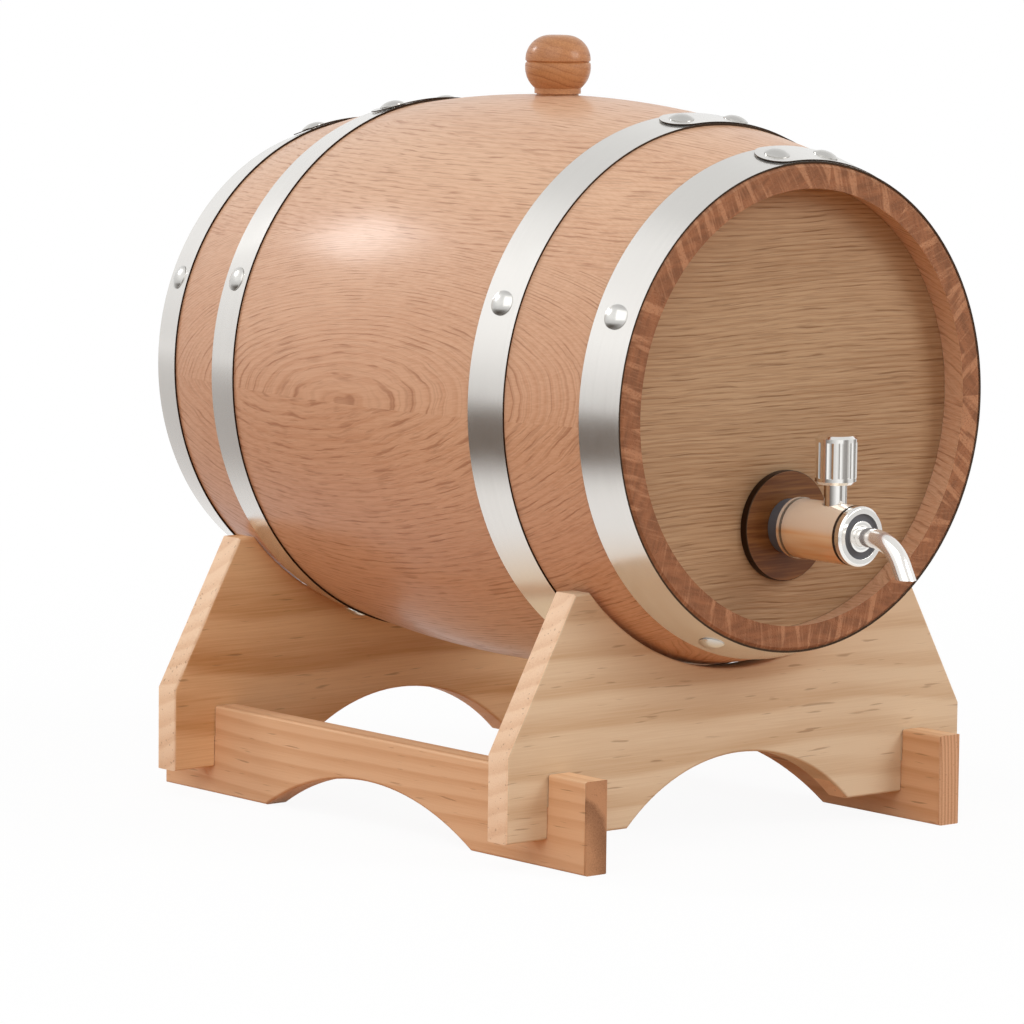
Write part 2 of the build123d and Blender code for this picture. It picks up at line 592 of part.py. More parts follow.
with BuildPart() as tap_body:
    with BuildSketch(tap_plane(BODY_BACK)):
        Circle(TAP_BODY_RADIUS)
    extrude(amount=TAP_BODY_LENGTH)
    with BuildSketch(tap_plane(BODY_BACK)):
        Circle(TAP_BODY_RADIUS + TAP_LIP_HEIGHT)
    extrude(amount=TAP_LIP_LENGTH)
    with BuildSketch(tap_plane(BODY_BACK + TAP_LIP_LENGTH)):
        Circle(TAP_BODY_RADIUS + TAP_LIP_HEIGHT)
        Circle(TAP_BODY_RADIUS - TAP_NECK_DEPTH, mode=Mode.SUBTRACT)
    extrude(amount=TAP_NECK_LENGTH, mode=Mode.SUBTRACT)
    with BuildSketch(tap_plane(SHANK_END)):
        Circle(SHANK_RADIUS)
    extrude(amount=BODY_BACK - SHANK_END)
    for turn in range(groove_count):
        with BuildSketch(tap_plane(SHANK_END + SHANK_THREAD_PITCH * turn + GROOVE_LENGTH)):
            Circle(SHANK_RADIUS + SHANK_CLEARANCE)
            Circle(SHANK_RADIUS - SHANK_THREAD_DEPTH, mode=Mode.SUBTRACT)
        extrude(amount=GROOVE_LENGTH, mode=Mode.SUBTRACT)
    with BuildSketch(tap_plane(SHANK_END)):
        Circle(SHANK_BORE_RADIUS)
    extrude(amount=CHAMBER_BACK - VALVE_WALL_THICKNESS - SHANK_END, mode=Mode.SUBTRACT)
    with BuildSketch(tap_plane(CHAMBER_BACK)):
        Circle(CHAMBER_RADIUS)
    extrude(amount=BODY_FRONT - CHAMBER_BACK, mode=Mode.SUBTRACT)
    with BuildSketch(tap_plane(CHAMBER_BACK - VALVE_WALL_THICKNESS)):
        with Locations((0, PORT_OFFSET)):
            Circle(PORT_RADIUS)
    extrude(amount=VALVE_WALL_THICKNESS, mode=Mode.SUBTRACT)
    with BuildSketch(Plane.YZ):
        with Locations((MIDDLE_Y - STEM_OFFSET, TAP_HEIGHT)):
            Rectangle(
                2 * SLOT_HALF_WIDTH, 2 * TAP_BODY_RADIUS, align=(Align.CENTER, Align.MIN)
            )
    revolve(axis=TAP_AXIS, revolution_arc=HANDLE_TURN, mode=Mode.SUBTRACT)
    with Locations(stem_plane, open_plane):
        Cylinder(
            SLOT_HALF_WIDTH,
            2 * TAP_BODY_RADIUS,
            align=(Align.CENTER, Align.CENTER, Align.MIN),
            mode=Mode.SUBTRACT,
        )
tap_body.part.label = "tap_body"
export_step(tap_body.part, "parts/tap_body.step")

with BuildPart() as seat_seal:
    with BuildSketch(tap_plane(CHAMBER_BACK)):
        Circle(ROTOR_RADIUS)
        with Locations((0, PORT_OFFSET)):
            Circle(PORT_RADIUS, mode=Mode.SUBTRACT)
    extrude(amount=SEAT_SEAL_THICKNESS - ROTOR_CLEARANCE)
seat_seal.part.label = "tap_seat_seal"
export_step(seat_seal.part, "parts/tap_seat_seal.step")

RING_PLACES = [ROTOR_BACK + O_RING_SETBACK, ROTOR_FRONT - O_RING_SETBACK]
RING_PATH_RADIUS = ROTOR_RADIUS - O_RING_RADIUS
with BuildPart() as rotor:
    with BuildSketch(tap_plane(ROTOR_BACK)):
        Circle(ROTOR_RADIUS)
    extrude(amount=ROTOR_FRONT - ROTOR_BACK)
    for place in RING_PLACES:
        with BuildSketch(tap_plane(place)):
            Circle(ROTOR_RADIUS + ROTOR_CLEARANCE)
            Circle(ROTOR_RADIUS - 2 * O_RING_RADIUS - ROTOR_CLEARANCE, mode=Mode.SUBTRACT)
        extrude(amount=O_RING_RADIUS + ROTOR_CLEARANCE, both=True, mode=Mode.SUBTRACT)
    with BuildSketch(tap_plane(ROTOR_BACK)):
        with Locations((-PORT_OFFSET, 0)):
            Circle(PORT_RADIUS)
    extrude(amount=ROTOR_FRONT - ROTOR_BACK, mode=Mode.SUBTRACT)
    with BuildSketch(tap_plane(ROTOR_FRONT)):
        Circle(OUTLET_POCKET_RADIUS)
    extrude(amount=-OUTLET_POCKET_DEPTH, mode=Mode.SUBTRACT)
    with Locations(stem_plane.offset(ROTOR_RADIUS)):
        Cylinder(
            STEM_SPIGOT_RADIUS + ROTOR_CLEARANCE,
            STEM_SPIGOT_DEPTH + ROTOR_CLEARANCE,
            align=(Align.CENTER, Align.CENTER, Align.MAX),
            mode=Mode.SUBTRACT,
        )
rotor.part.label = "tap_valve_rotor"
export_step(rotor.part, "parts/tap_valve_rotor.step")

with BuildPart() as o_rings:
    for place in RING_PLACES:
        with Locations(tap_plane(place)):
            Torus(RING_PATH_RADIUS, O_RING_RADIUS)
o_rings.part.label = "tap_o_rings"
export_step(o_rings.part, "parts/tap_o_rings.step")

# ================================================================ tap: handle
KNOB_FOOT = TAP_BODY_RADIUS + STEM_SHOWN
STEM_TOP = KNOB_FOOT + KNOB_SOCKET_DEPTH
with BuildPart() as stem:
    with Locations(stem_plane.offset(ROTOR_RADIUS - STEM_SPIGOT_DEPTH)):
        Cylinder(
            STEM_SPIGOT_RADIUS,
            STEM_TOP - ROTOR_RADIUS + STEM_SPIGOT_DEPTH,
            align=(Align.CENTER, Align.CENTER, Align.MIN),
        )
    with Locations(stem_plane.offset(ROTOR_RADIUS + ROTOR_CLEARANCE)):
        Cylinder(
            STEM_RADIUS,
            KNOB_FOOT - ROTOR_RADIUS - ROTOR_CLEARANCE,
            align=(Align.CENTER, Align.CENTER, Align.MIN),
        )
stem.part.label = "tap_handle_stem"
export_step(stem.part, "parts/tap_handle_stem.step")

FLUTE_LENGTH = KNOB_HEIGHT - 2 * KNOB_FLUTE_MARGIN
with BuildPart() as knob:
    with BuildSketch(stem_plane.offset(KNOB_FOOT)):
        Circle(KNOB_RADIUS)
    extrude(amount=KNOB_HEIGHT)
    chamfer(knob.edges().filter_by(GeomType.CIRCLE), KNOB_BEVEL)
    with BuildSketch(stem_plane.offset(KNOB_FOOT + KNOB_FLUTE_MARGIN)):
        with PolarLocations(KNOB_RADIUS - KNOB_FLUTE_DEPTH + KNOB_FLUTE_RADIUS, KNOB_FLUTES):
            Circle(KNOB_FLUTE_RADIUS)
    extrude(amount=FLUTE_LENGTH, mode=Mode.SUBTRACT)
    with BuildSketch(stem_plane.offset(KNOB_FOOT)):
        Circle(STEM_SPIGOT_RADIUS + ROTOR_CLEARANCE)
    extrude(amount=KNOB_SOCKET_DEPTH + ROTOR_CLEARANCE, mode=Mode.SUBTRACT)
knob.part.label = "tap_handle_knob"
export_step(knob.part, "parts/tap_handle_knob.step")

# ================================================================ tap: end cap and spout
with BuildPart() as end_cap:
    with BuildSketch(tap_plane(BODY_FRONT)):
        Circle(TAP_BODY_RADIUS)
    extrude(amount=CAP_THICKNESS)
    chamfer(end_cap.edges().filter_by(GeomType.CIRCLE).sort_by(Axis.Y)[0], CAP_BEVEL)
    with BuildSketch(tap_plane(BODY_FRONT - CAP_SPIGOT_LENGTH)):
        Circle(ROTOR_RADIUS)
    extrude(amount=CAP_SPIGOT_LENGTH)
    with BuildSketch(tap_plane(CAP_FRONT)):
        Circle(TAP_BODY_RADIUS - CAP_RIM_WIDTH)
        Circle(TAP_BODY_RADIUS - CAP_RIM_WIDTH - CAP_GROOVE_WIDTH, mode=Mode.SUBTRACT)
    extrude(amount=-CAP_GROOVE_DEPTH, mode=Mode.SUBTRACT)
    with BuildSketch(tap_plane(BODY_FRONT - CAP_SPIGOT_LENGTH)):
        Circle(SPOUT_RADIUS)
    extrude(amount=CAP_THICKNESS + CAP_SPIGOT_LENGTH, mode=Mode.SUBTRACT)
end_cap.part.label = "tap_end_cap"
export_step(end_cap.part, "parts/tap_end_cap.step")

SPOUT_ROOT = BODY_FRONT - CAP_SPIGOT_LENGTH
CUT_LEVEL = TAP_HEIGHT - SPOUT_TIP_DROP
bend_start = (MIDDLE_Y - CAP_FRONT - SPOUT_RUN, TAP_HEIGHT)
bend_stop = (MIDDLE_Y - BEND_END, TAP_HEIGHT - BEND_DROP)
overshoot = TIP_RUN + 2 * SPOUT_RADIUS
with BuildPart() as spout:
    with BuildLine(Plane.YZ) as spout_path:
        Line((MIDDLE_Y - SPOUT_ROOT, TAP_HEIGHT), bend_start)
        TangentArc(bend_start, bend_stop, tangent=(-1, 0))
        Line(
            bend_stop,
            (
                bend_stop[0] - overshoot * cos(BEND_RADIANS),
                bend_stop[1] - overshoot * sin(BEND_RADIANS),
            ),
        )
    with BuildSketch(tap_plane(SPOUT_ROOT)):
        Circle(SPOUT_RADIUS)
        Circle(SPOUT_BORE_RADIUS, mode=Mode.SUBTRACT)
    sweep(path=spout_path.line)
    split(bisect_by=Plane.XY.offset(CUT_LEVEL), keep=Keep.TOP)
spout.part.label = "tap_spout"
export_step(spout.part, "parts/tap_spout.step")

print(f"cask {2 * BILGE_RADIUS:.1f} across, {CASK_LENGTH:.1f} long, axis {AXIS_HEIGHT:.2f} up")
print(f"middle of the cask at y {MIDDLE_Y:.2f}, tap's axis {TAP_HEIGHT:.2f} up, stem {STEM_OFFSET:.2f}")
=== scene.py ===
"""Looks of the oak cask drink dispenser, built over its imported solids, in metres.

X is right, Z is up, and the cask lies along Y with its tap towards -Y.
"""
from math import asin, cos, pi, radians, sin, sqrt

import bmesh
import bpy
from mathutils import Matrix, Vector


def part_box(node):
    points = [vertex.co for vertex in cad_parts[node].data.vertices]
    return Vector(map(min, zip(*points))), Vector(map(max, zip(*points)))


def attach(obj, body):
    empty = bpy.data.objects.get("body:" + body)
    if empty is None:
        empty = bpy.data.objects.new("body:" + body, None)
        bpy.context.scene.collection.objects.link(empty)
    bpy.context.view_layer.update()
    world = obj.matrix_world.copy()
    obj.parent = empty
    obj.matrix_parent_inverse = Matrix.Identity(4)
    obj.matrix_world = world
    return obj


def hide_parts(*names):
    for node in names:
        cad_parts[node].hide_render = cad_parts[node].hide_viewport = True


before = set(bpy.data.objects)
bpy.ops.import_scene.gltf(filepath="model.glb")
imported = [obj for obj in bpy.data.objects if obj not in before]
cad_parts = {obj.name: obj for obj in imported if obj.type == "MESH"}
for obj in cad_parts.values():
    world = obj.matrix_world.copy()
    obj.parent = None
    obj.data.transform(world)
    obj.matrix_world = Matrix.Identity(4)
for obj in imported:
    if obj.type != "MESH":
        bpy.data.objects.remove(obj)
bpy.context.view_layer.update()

bl_info = {
    "name": "Oak Cask Dispenser",
    "version": (1, 0, 0),
    "blender": (4, 5, 0),
    "location": "3D View > Sidebar > Cask",
    "description": "Models and finishes the oak cask, its hoops, bung, tap and pine stand",
    "category": "Object",
}

# ---------------------------------------------------------------- places taken from the frame
STAVE_LOW, STAVE_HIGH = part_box("stave_01")
HEAD_LOW, HEAD_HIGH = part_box("head_front")
TAP_LOW, TAP_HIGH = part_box("tap_escutcheon")
BOARD_LOW, BOARD_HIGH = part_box("stand_board_front")
RAIL_LOW, RAIL_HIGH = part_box("stand_rail_right")
BUNG_LOW, BUNG_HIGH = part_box("bung")
HALF_LENGTH = (STAVE_HIGH.y - STAVE_LOW.y) / 2
AXIS = Vector((0, (STAVE_LOW.y + STAVE_HIGH.y) / 2, (HEAD_LOW.z + HEAD_HIGH.z) / 2))
TAP = Vector((0, AXIS.y, (TAP_LOW.z + TAP_HIGH.z) / 2))
BUNG_Y = (BUNG_LOW.y + BUNG_HIGH.y) / 2
BOARD_MIDDLE = AXIS.y - (BOARD_LOW.y + BOARD_HIGH.y) / 2
BOARD_HALF = (BOARD_HIGH.y - BOARD_LOW.y) / 2
RAIL_MIDDLE = (RAIL_LOW.x + RAIL_HIGH.x) / 2
RAIL_HALF = (RAIL_HIGH.x - RAIL_LOW.x) / 2
ALONG = Vector((0, 1, 0))
ACROSS = Vector((1, 0, 0))
UP = Vector((0, 0, 1))

# ---------------------------------------------------------------- staves, hoops and small fits
STAVE_WIDTHS = [30, 35, 34, 32, 29, 29, 30, 29, 29, 28, 28, 27]    # degrees
FIRST_JOINT = 83               # degrees from +X
STAVE_STEPS = 40               # along a stave
STAVE_STEP = 2.0               # degrees between steps round the cask
CLEARANCE = 0.0001             # round the head's tongue in its croze
# How each stave was sawn: rings per metre across it and into its depth, and in degrees the
# slant of the rays on its end and of the grain on its side.
SAWN = [
    (420, 500, 25, 2), (460, 520, -20, -1), (0, 1500, -20, 9), (380, 700, -35, 6),
    (520, 400, 30, 3), (300, 900, 20, -2), (450, 600, -30, 2), (350, 800, 35, -3),
    (500, 450, -25, 2), (380, 650, 30, -2), (460, 500, -20, 3), (400, 700, 35, -2),
]
NEAR = 1e-5                    # closer than this counts as touching
OVAL_STAVE = 3                 # sawn so that its rings close into nested ovals
OVAL_ANGLE = 181.5             # degrees from +X to the middle of the ovals
OVAL_BOW = 6000                # how much the ovals narrow across the stave, rings per m2
SIDEWAYS = (0, 0, -pi / 2)     # turns wood so that it runs along X, its depth along -Y

SINGLE_RIVETS = 3              # besides those of the lap
SINGLE_RIVET_STEP = 90         # degrees
LAP_SPREAD = 15                # degrees between lap rivets
LAP_RUNOUT = 20                # degrees from the last of them to where the lap dies out
LAP_ROOT = 0.5                 # degrees from there to where it's modelled
LAP_OVERRUN = 6                # degrees of strap past the lap's round end, cut off there
CHIME_SETBACK = 0.0004         # from the end of the staves to the hoop
QUARTER_SETBACK = 0.0499       # from the end of the staves to the hoop's middle
HOOP_FIT = 0.00008             # between strap and staves
RIVET_RIM = 0.0002             # height of the dome's rim
RIVET_SHANK = 0.0012           # radius
RIVET_DEPTH = 0.0055           # of the shank in the stave

BUNG_FLAT = 0.0026             # radius of the flat on top
BUNG_LEDGE = 0.0007            # of the collar round the plug
BUNG_TAPER = 0.0008            # of the plug's radius
BUNG_FIT = 0.0003              # round the plug
BUNG_SPARE = 0.001             # that the hole's cutter stands out of the stave
CROWN_BULGE = 0.0024           # of the knob's side above its groove
LOWER_BULGE = 0.0011           # and below it

SHANK_HOLE = 0.0061            # radius of the hole for the tap's shank
PLATE_BEVEL = 0.00045
GASKET_BEVEL = 0.0004
BODY_NECK = 0.0016             # from the barrel's rear end to the middle of its neck
NECK_SHADE = 0.0005            # half the width of the painted shade line there
LIP_SHADE = 0.0007             # and of the painted shade line at the barrel's front end
PAINTED_HIGHLIGHT_FROM = -0.0005            # height over the tap's axis where the painted highlight on the barrel begins
PAINTED_HIGHLIGHT_TO = 0.0022               # and where the barrel is wholly painted highlight
GASKET_INSET = 0.0007          # of the outer gasket inside the barrel's edge
CAP_SPIGOT = 0.001             # how far the cap reaches into the barrel
CAP_SPIGOT_RADIUS = 0.007
CAP_STEP = 0.0005              # length of the recessed ring behind the cap's edge
CAP_STEP_DEPTH = 0.0006
CAP_BEVEL = 0.0007
CAP_SOFTNESS = 0.00012         # rounding of its other edges
CAP_RIM = 0.0023               # width outside the groove in the cap's face
CAP_GROOVE = 0.0022            # width of the groove
CAP_GROOVE_DEPTH = 0.001
SPOUT_DROP = 0.0112            # from the tap's axis down to the spout's cut
SPOUT_SPARE = 0.014            # length of tube that the level cut shortens
STEM_SETBACK = 0.0091          # from the barrel's front end to the handle
STEM_SHOWN = 0.0058            # between barrel and knob
ROTOR_RADIUS = 0.00702
SPIGOT_RADIUS = 0.0022         # of the stem's two ends
SPIGOT_DEPTH = 0.003           # in the rotor
SOCKET_DEPTH = 0.006           # in the knob
STEM_SOFTNESS = 0.00015        # rounding of the stem's edges
METAL_FIT = 0.00008            # between metal parts of the handle
KNOB_BEVEL = 0.0009
FLUTE_RADIUS = 0.0017
FLUTE_DEPTH = 0.0005
FLUTE_MARGIN = 0.002           # from a flute's end to the knob's


# ================================================================ settings
def linear(red, green, blue):
    """A colour read in 0-255 steps, as Blender's own linear colour."""
    steps = [value / 255 for value in (red, green, blue)]
    return tuple(s / 12.92 if s <= 0.04045 else ((s + 0.055) / 1.055) ** 2.4 for s in steps)


def length(name, description, default):
    return bpy.props.FloatProperty(
        name=name, description=description, default=default, unit="LENGTH", precision=5
    )


def colour(name, description, default):
    return bpy.props.FloatVectorProperty(
        name=name, description=description, default=linear(*default), subtype="COLOR", size=3
    )


def strength(name, description, default):
    return bpy.props.FloatProperty(name=name, description=description, default=default, min=0)


def turn(name, description, default):
    return bpy.props.FloatProperty(
        name=name, description=description, default=radians(default), subtype="ANGLE"
    )


class CaskSettings(bpy.types.PropertyGroup):
    """Sizes and colours of the staves, heads, hoops and rivets."""

    bilge_radius: length("Bilge radius", "Outside radius at the middle", 0.0913)
    bilge_rise: length("Bilge rise", "By how much the middle is wider than the ends", 0.0163)
    stave_thickness: length("Stave thickness", "Of a stave at the middle", 0.012)
    chime_thickness: length("Chime thickness", "Of a stave at its ends", 0.0075)
    chime_bevel: length("Chime bevel", "Small bevel round each end of the cask", 0.0008)
    head_recess: length("Head recess", "From the end of the staves in to the head", 0.0102)
    head_thickness: length("Head thickness", "Of a head", 0.009)
    tongue: length("Tongue", "Thickness of the head's edge in its croze", 0.005)
    croze_depth: length("Croze depth", "How far the head's edge goes into the staves", 0.0032)
    hoop_width: length("Hoop width", "Of each steel hoop", 0.014)
    hoop_thickness: length("Hoop thickness", "Of the steel strap", 0.0006)
    rivet_radius: length("Rivet radius", "Of a rivet's domed head", 0.004)
    rivet_height: length("Rivet height", "Of a rivet's domed head", 0.0015)
    stave_colour: colour("Stave colour", "Pinkish tan of the staves", (226, 184, 151))
    stave_dark: colour("Stave figure", "Darker wood of the rings", (203, 151, 116))
    stave_pore: colour("Stave pores", "Short dark streaks", (150, 97, 66))
    end_colour: colour("End colour", "Red-brown end wood of the staves", (158, 108, 76))
    end_ray: colour("End rays", "Light flecks across the end wood", (200, 150, 114))
    head_colour: colour("Head colour", "Olive tan of the heads", (188, 158, 124))
    head_dark: colour("Head figure", "Darker bands of the heads", (150, 112, 76))
    head_pore: colour("Head pores", "Short dark streaks of the heads", (104, 70, 42))
    steel_colour: colour("Steel colour", "Of the hoops and fasteners", (232, 230, 226))
    rivet_colour: colour("Rivet colour", "Of the rivets", (214, 212, 208))
    # The straps' cut edges are darkened as painted shade of the gap between strap and wood; the
    # plate's rim takes this colour too.
    cut_colour: colour("Cut edge", "Dark cut edges of the straps", (66, 50, 38))


class StandSettings(bpy.types.PropertyGroup):
    """Sizes and colours of the pine boards and rails."""

    edge_radius: length("Edge radius", "Rounding of the long edges", 0.0009)
    shoulder_height: length("Shoulder height", "Where the slope meets the upright end", 0.0356)
    horn_flat: length("Horn flat", "Width of the flat on top of each horn", 0.0062)
    arch_half_width: length("Arch half width", "Of the low arch under a board", 0.0465)
    arch_top: length("Arch top", "Crown of the board's arch above the floor", 0.0282)
    waist: length("Waist", "Wood between the board's arch and its cradle", 0.02701)
    rail_arch_half: length("Rail arch half length", "Of the low arch under a rail", 0.0522)
    rail_arch_rise: length("Rail arch rise", "Of the low arch under a rail", 0.0146)
    lap_height: length("Lap height", "Where the halved joints meet", 0.0189)
    lap_gap: length("Lap gap", "On each side of a halved joint", 0.0003)
    pine_colour: colour("Pine colour", "Light wood of the boards", (228, 207, 176))
    pine_band: colour("Pine band", "Orange late wood of the boards", (204, 173, 136))
    rail_colour: colour("Rail colour", "Light wood of the rails", (239, 197, 156))
    rail_band: colour("Rail band", "Orange late wood of the rails", (221, 172, 128))
    rear_colour: colour("Rear board", "Light wood of the rear board", (246, 208, 162))
    rear_band: colour("Rear board bands", "Darker wood of the rear board", (204, 150, 94))
    cut_colour: colour("Board ends", "Light wood of the boards' ends", (252, 222, 190))
    cut_band: colour("Board end rings", "Rings on the boards' ends", (224, 180, 140))
    pine_dash: colour("Pine dash", "Short resin dashes", (128, 88, 56))
    pine_end: colour("Pine end", "Pinkish wood on the right rail's ends", (222, 179, 142))
    pine_end_band: colour("Pine end band", "Browner rings on those ends", (182, 132, 94))
    dark_end: colour("Dark end", "Browner wood on the left rail's ends", (194, 147, 109))
    dark_end_band: colour("Dark end band", "Rings on the left rail's ends", (118, 80, 54))


class BungSettings(bpy.types.PropertyGroup):
    """Sizes and colours of the turned bung."""

    knob_radius: length("Knob radius", "Widest radius of the knob", 0.0105)
    knob_height: length("Knob height", "Above the collar", 0.017)
    groove_height: length("Groove height", "Of the cut line above the collar", 0.0084)
    groove_depth: length("Groove depth", "Of the cut line", 0.0005)
    collar_radius: length("Collar radius", "Of the collar on the stave", 0.0075)
    collar_height: length("Collar height", "Of the collar", 0.0017)
    plug_length: length("Plug length", "Below the collar", 0.016)
    wood: colour("Wood", "Orange-brown of the turned wood", (195, 137, 89))
    wood_dark: colour("Wood figure", "Darker rings of the turned wood", (152, 94, 53))


class TapSettings(bpy.types.PropertyGroup):
    """Sizes and colours of the tap."""

    body_radius: length("Body radius", "Of the tap's barrel", 0.0093)
    body_length: length("Body length", "Of the tap's barrel", 0.0254)
    plate_radius: length("Plate radius", "Of the round escutcheon plate", 0.0172)
    plate_thickness: length("Plate thickness", "Of the escutcheon plate", 0.003)
    gasket_thickness: length("Gasket thickness", "Of the gasket on the plate", 0.005)
    cap_thickness: length("Cap thickness", "Of the end cap", 0.003)
    stem_radius: length("Stem radius", "Of the handle's stem", 0.0036)
    knob_radius: length("Knob radius", "Of the handle's knob", 0.00645)
    knob_height: length("Knob height", "Of the handle's knob", 0.015)
    flutes: bpy.props.IntProperty(name="Flutes", description="Round the knob", default=12, min=3)
    spout_radius: length("Spout radius", "Outside radius of the spout", 0.003)
    spout_bore: length("Spout bore", "Inside radius of the spout", 0.0022)
    spout_run: length("Spout run", "Straight part in front of the cap", 0.0055)
    spout_bend: length("Spout bend", "Radius of the spout's bend", 0.0135)
    spout_turn: turn("Spout turn", "How far the spout bends down", 62)
    chrome: colour("Chrome", "Polished metal of the tap", (248, 246, 242))
    # The barrel's colours are painted light: a painted highlight above, a painted reflection of
    # the head's wood with its waves below, and painted shade in the joints at its ends.
    body_colour: colour("Body", "Upper half of the tap's barrel", (255, 240, 220))
    body_warm: colour("Body warm", "Lower half of the tap's barrel", (248, 200, 150))
    body_amber: colour("Body amber", "Waves in the barrel's lower half", (255, 226, 188))
    joint_painted_shade: colour("Joint dark", "Dark line at each end of the barrel", (58, 42, 30))
    rubber: colour("Rubber", "Grey of the gaskets", (90, 92, 98))
    # The plate's face is a painted reflection: dark brown with lighter level streaks.
    plate_reflection_dark: colour("Plate dark", "Dark brown of the escutcheon plate", (98, 57, 24))
    plate_reflection_streaks: colour("Plate streaks", "Lighter streaks on the plate", (128, 84, 44))


class StageSettings(bpy.types.PropertyGroup):
    """Camera, floor and lamps."""

    aim: bpy.props.FloatVectorProperty(
        name="Aim", description="Point that the camera looks at", size=3,
        default=(-0.02591, 0.01741, 0.09766), subtype="TRANSLATION", unit="LENGTH",
    )
    distance: length("Distance", "From the camera to the aim point", 1.7964)
    azimuth: turn("Azimuth", "Of the camera, 0 looks along +Y", -39.917)
    elevation: turn("Elevation", "Of the camera above the floor's level", 6.816)
    roll: turn("Roll", "Of the camera about its own view", 0.610)
    lens: bpy.props.FloatProperty(
        name="Lens", description="Focal length on a 36 mm sensor", default=197.18, unit="CAMERA"
    )
    sky: strength("Sky", "Soft white light from all round", 0.64)
    mirrored_sky: strength("Mirrored sky", "How bright the metal shows the sky", 1.0)
    panel: strength("Panel", "Extra brightness of the soft panel that the metal mirrors", 0.24)
    key_power: strength("Key power", "Small lamp behind and to the left, in watts", 4.8)
    side_power: strength("Side power", "Wide lamp to the left and above, in watts", 12.0)
    front_power: strength("Front power", "Lamp to the right in front, in watts", 9.0)
    floor_bounce: colour("Floor bounce", "Warm tone that the floor throws back", (188, 132, 84))
    # The metal sees the floor in these colours: a painted reflection of a dark band, and painted
    # shade under the cask.
    painted_reflection_band: colour("Dark band", "Dark floor that the metal mirrors", (82, 72, 63))
    near_painted_shade: colour("Near floor", "Floor under the cask in the metal", (236, 206, 172))


def settings(name):
    return getattr(bpy.context.scene, name)


# ================================================================ drawing and shaping
def arc_radius(rise, half_span):
    """Radius of the arc with this rise over this half span."""
    return (half_span**2 + rise**2) / (2 * rise)


def only(made, kind):
    """The elements of one kind, out of what an operation made."""
    return [element for element in made if isinstance(element, kind)]


def spin(bm, geometry, centre, axis, angle, steps, merge=False):
    return bmesh.ops.spin(
        bm, geom=geometry, cent=centre, axis=axis, angle=angle, steps=steps, use_merge=merge
    )


def link_object(name, data):
    made = bpy.data.objects.new(name, data)
    bpy.context.scene.collection.objects.link(made)
    return made


class Outline:
    """A chain of vertices and edges, drawn one after the other in a bmesh."""

    def __init__(self, *points):
        self.bm = bmesh.new()
        self.start = self.tip = self.bm.verts.new(points[0])
        self.line(*points[1:])

    def line(self, *points):
        for point in points:
            vertex = self.bm.verts.new(point)
            self.bm.edges.new((self.tip, vertex))
            self.tip = vertex

    def arc(self, target, side, rise, steps):
        """Arc to the target, bulging by rise towards a side."""
        target = Vector(target)
        start = self.tip.co.copy()
        chord = target - start
        side = (side - chord * side.dot(chord) / chord.length_squared).normalized()
        radius = arc_radius(rise, chord.length / 2)
        centre = (start + target) / 2 - side * (radius - rise)
        angle = 2 * asin(chord.length / 2 / radius)
        axis = side.cross(chord).normalized()
        made = spin(self.bm, [self.tip], centre, axis, angle, steps)
        self.tip = only(made["geom_last"], bmesh.types.BMVert)[0]
        if (self.tip.co - target).length > NEAR:
            raise RuntimeError("an arc missed its target")

    def close(self):
        self.bm.edges.new((self.tip, self.start))

    def fill(self):
        """Close the chain and fill it with one face."""
        self.close()
        return bmesh.ops.edgeloop_fill(self.bm, edges=self.bm.edges[:])["faces"][0]

    def pulled(self, offset):
        """Closed block: the filled chain, extruded by an offset."""
        extrude(self.bm, [self.fill()], offset)
        return self.bm

    def swept(self, centre, axis, angle, steps):
        """Closed block: the filled chain, spun about an axis."""
        face = self.fill()
        spin(self.bm, [face] + list(face.edges) + list(face.verts), centre, axis, angle, steps)
        return self.bm

    def turned(self, centre, axis, steps):
        """The open or closed chain, spun once round an axis."""
        bm = self.bm
        spin(bm, bm.verts[:] + bm.edges[:], centre, axis, 2 * pi, steps, merge=True)
        bmesh.ops.remove_doubles(bm, verts=bm.verts[:], dist=1e-6)
        return bm


def extrude(bm, faces, offset):
    """Extrude faces by an offset and give the faces at the far end."""
    made = bmesh.ops.extrude_face_region(bm, geom=faces)["geom"]
    bmesh.ops.translate(bm, vec=offset, verts=only(made, bmesh.types.BMVert))
    return only(made, bmesh.types.BMFace)


def mirrored(points):
    """The same corners on the other side, in the order that goes on round the outline."""
    return [(-along, height) for along, height in reversed(points)]


def sharp_edges(bm, corner=35):
    """Edges where two faces meet at more than this many degrees."""
    both = [edge for edge in bm.edges if len(edge.link_faces) == 2]
    return [edge for edge in both if edge.calc_face_angle() > radians(corner)]


def soften(bm, width, segments=2, allowed=None):
    """Round the sharp edges of a closed shape, or those whose middle passes a test."""
    bmesh.ops.recalc_face_normals(bm, faces=bm.faces[:])
    edges = sharp_edges(bm)
    if allowed is not None:
        edges = [e for e in edges if allowed((e.verts[0].co + e.verts[1].co) / 2)]
    bmesh.ops.bevel(
        bm, geom=edges, offset=width, offset_type="OFFSET", segments=segments, profile=0.5,
        affect="EDGES", clamp_overlap=True, material=-1,
    )
    return bm


def carved(bm, cutter, operation="DIFFERENCE"):
    """A closed shape with another cut out of it, or only what both share."""
    holders = []
    for shape in (bm, cutter):
        bmesh.ops.recalc_face_normals(shape, faces=shape.faces[:])
        mesh = bpy.data.meshes.new("carving")
        shape.to_mesh(mesh)
        shape.free()
        holders.append(link_object("carving", mesh))
    tool = holders[0].modifiers.new("carving", "BOOLEAN")
    tool.operation = operation
    tool.solver = "EXACT"
    tool.object = holders[1]
    graph = bpy.context.evaluated_depsgraph_get()
    result = bmesh.new()
    result.from_mesh(holders[0].evaluated_get(graph).to_mesh())
    for holder in holders:
        mesh = holder.data
        bpy.data.objects.remove(holder)
        bpy.data.meshes.remove(mesh)
    return result


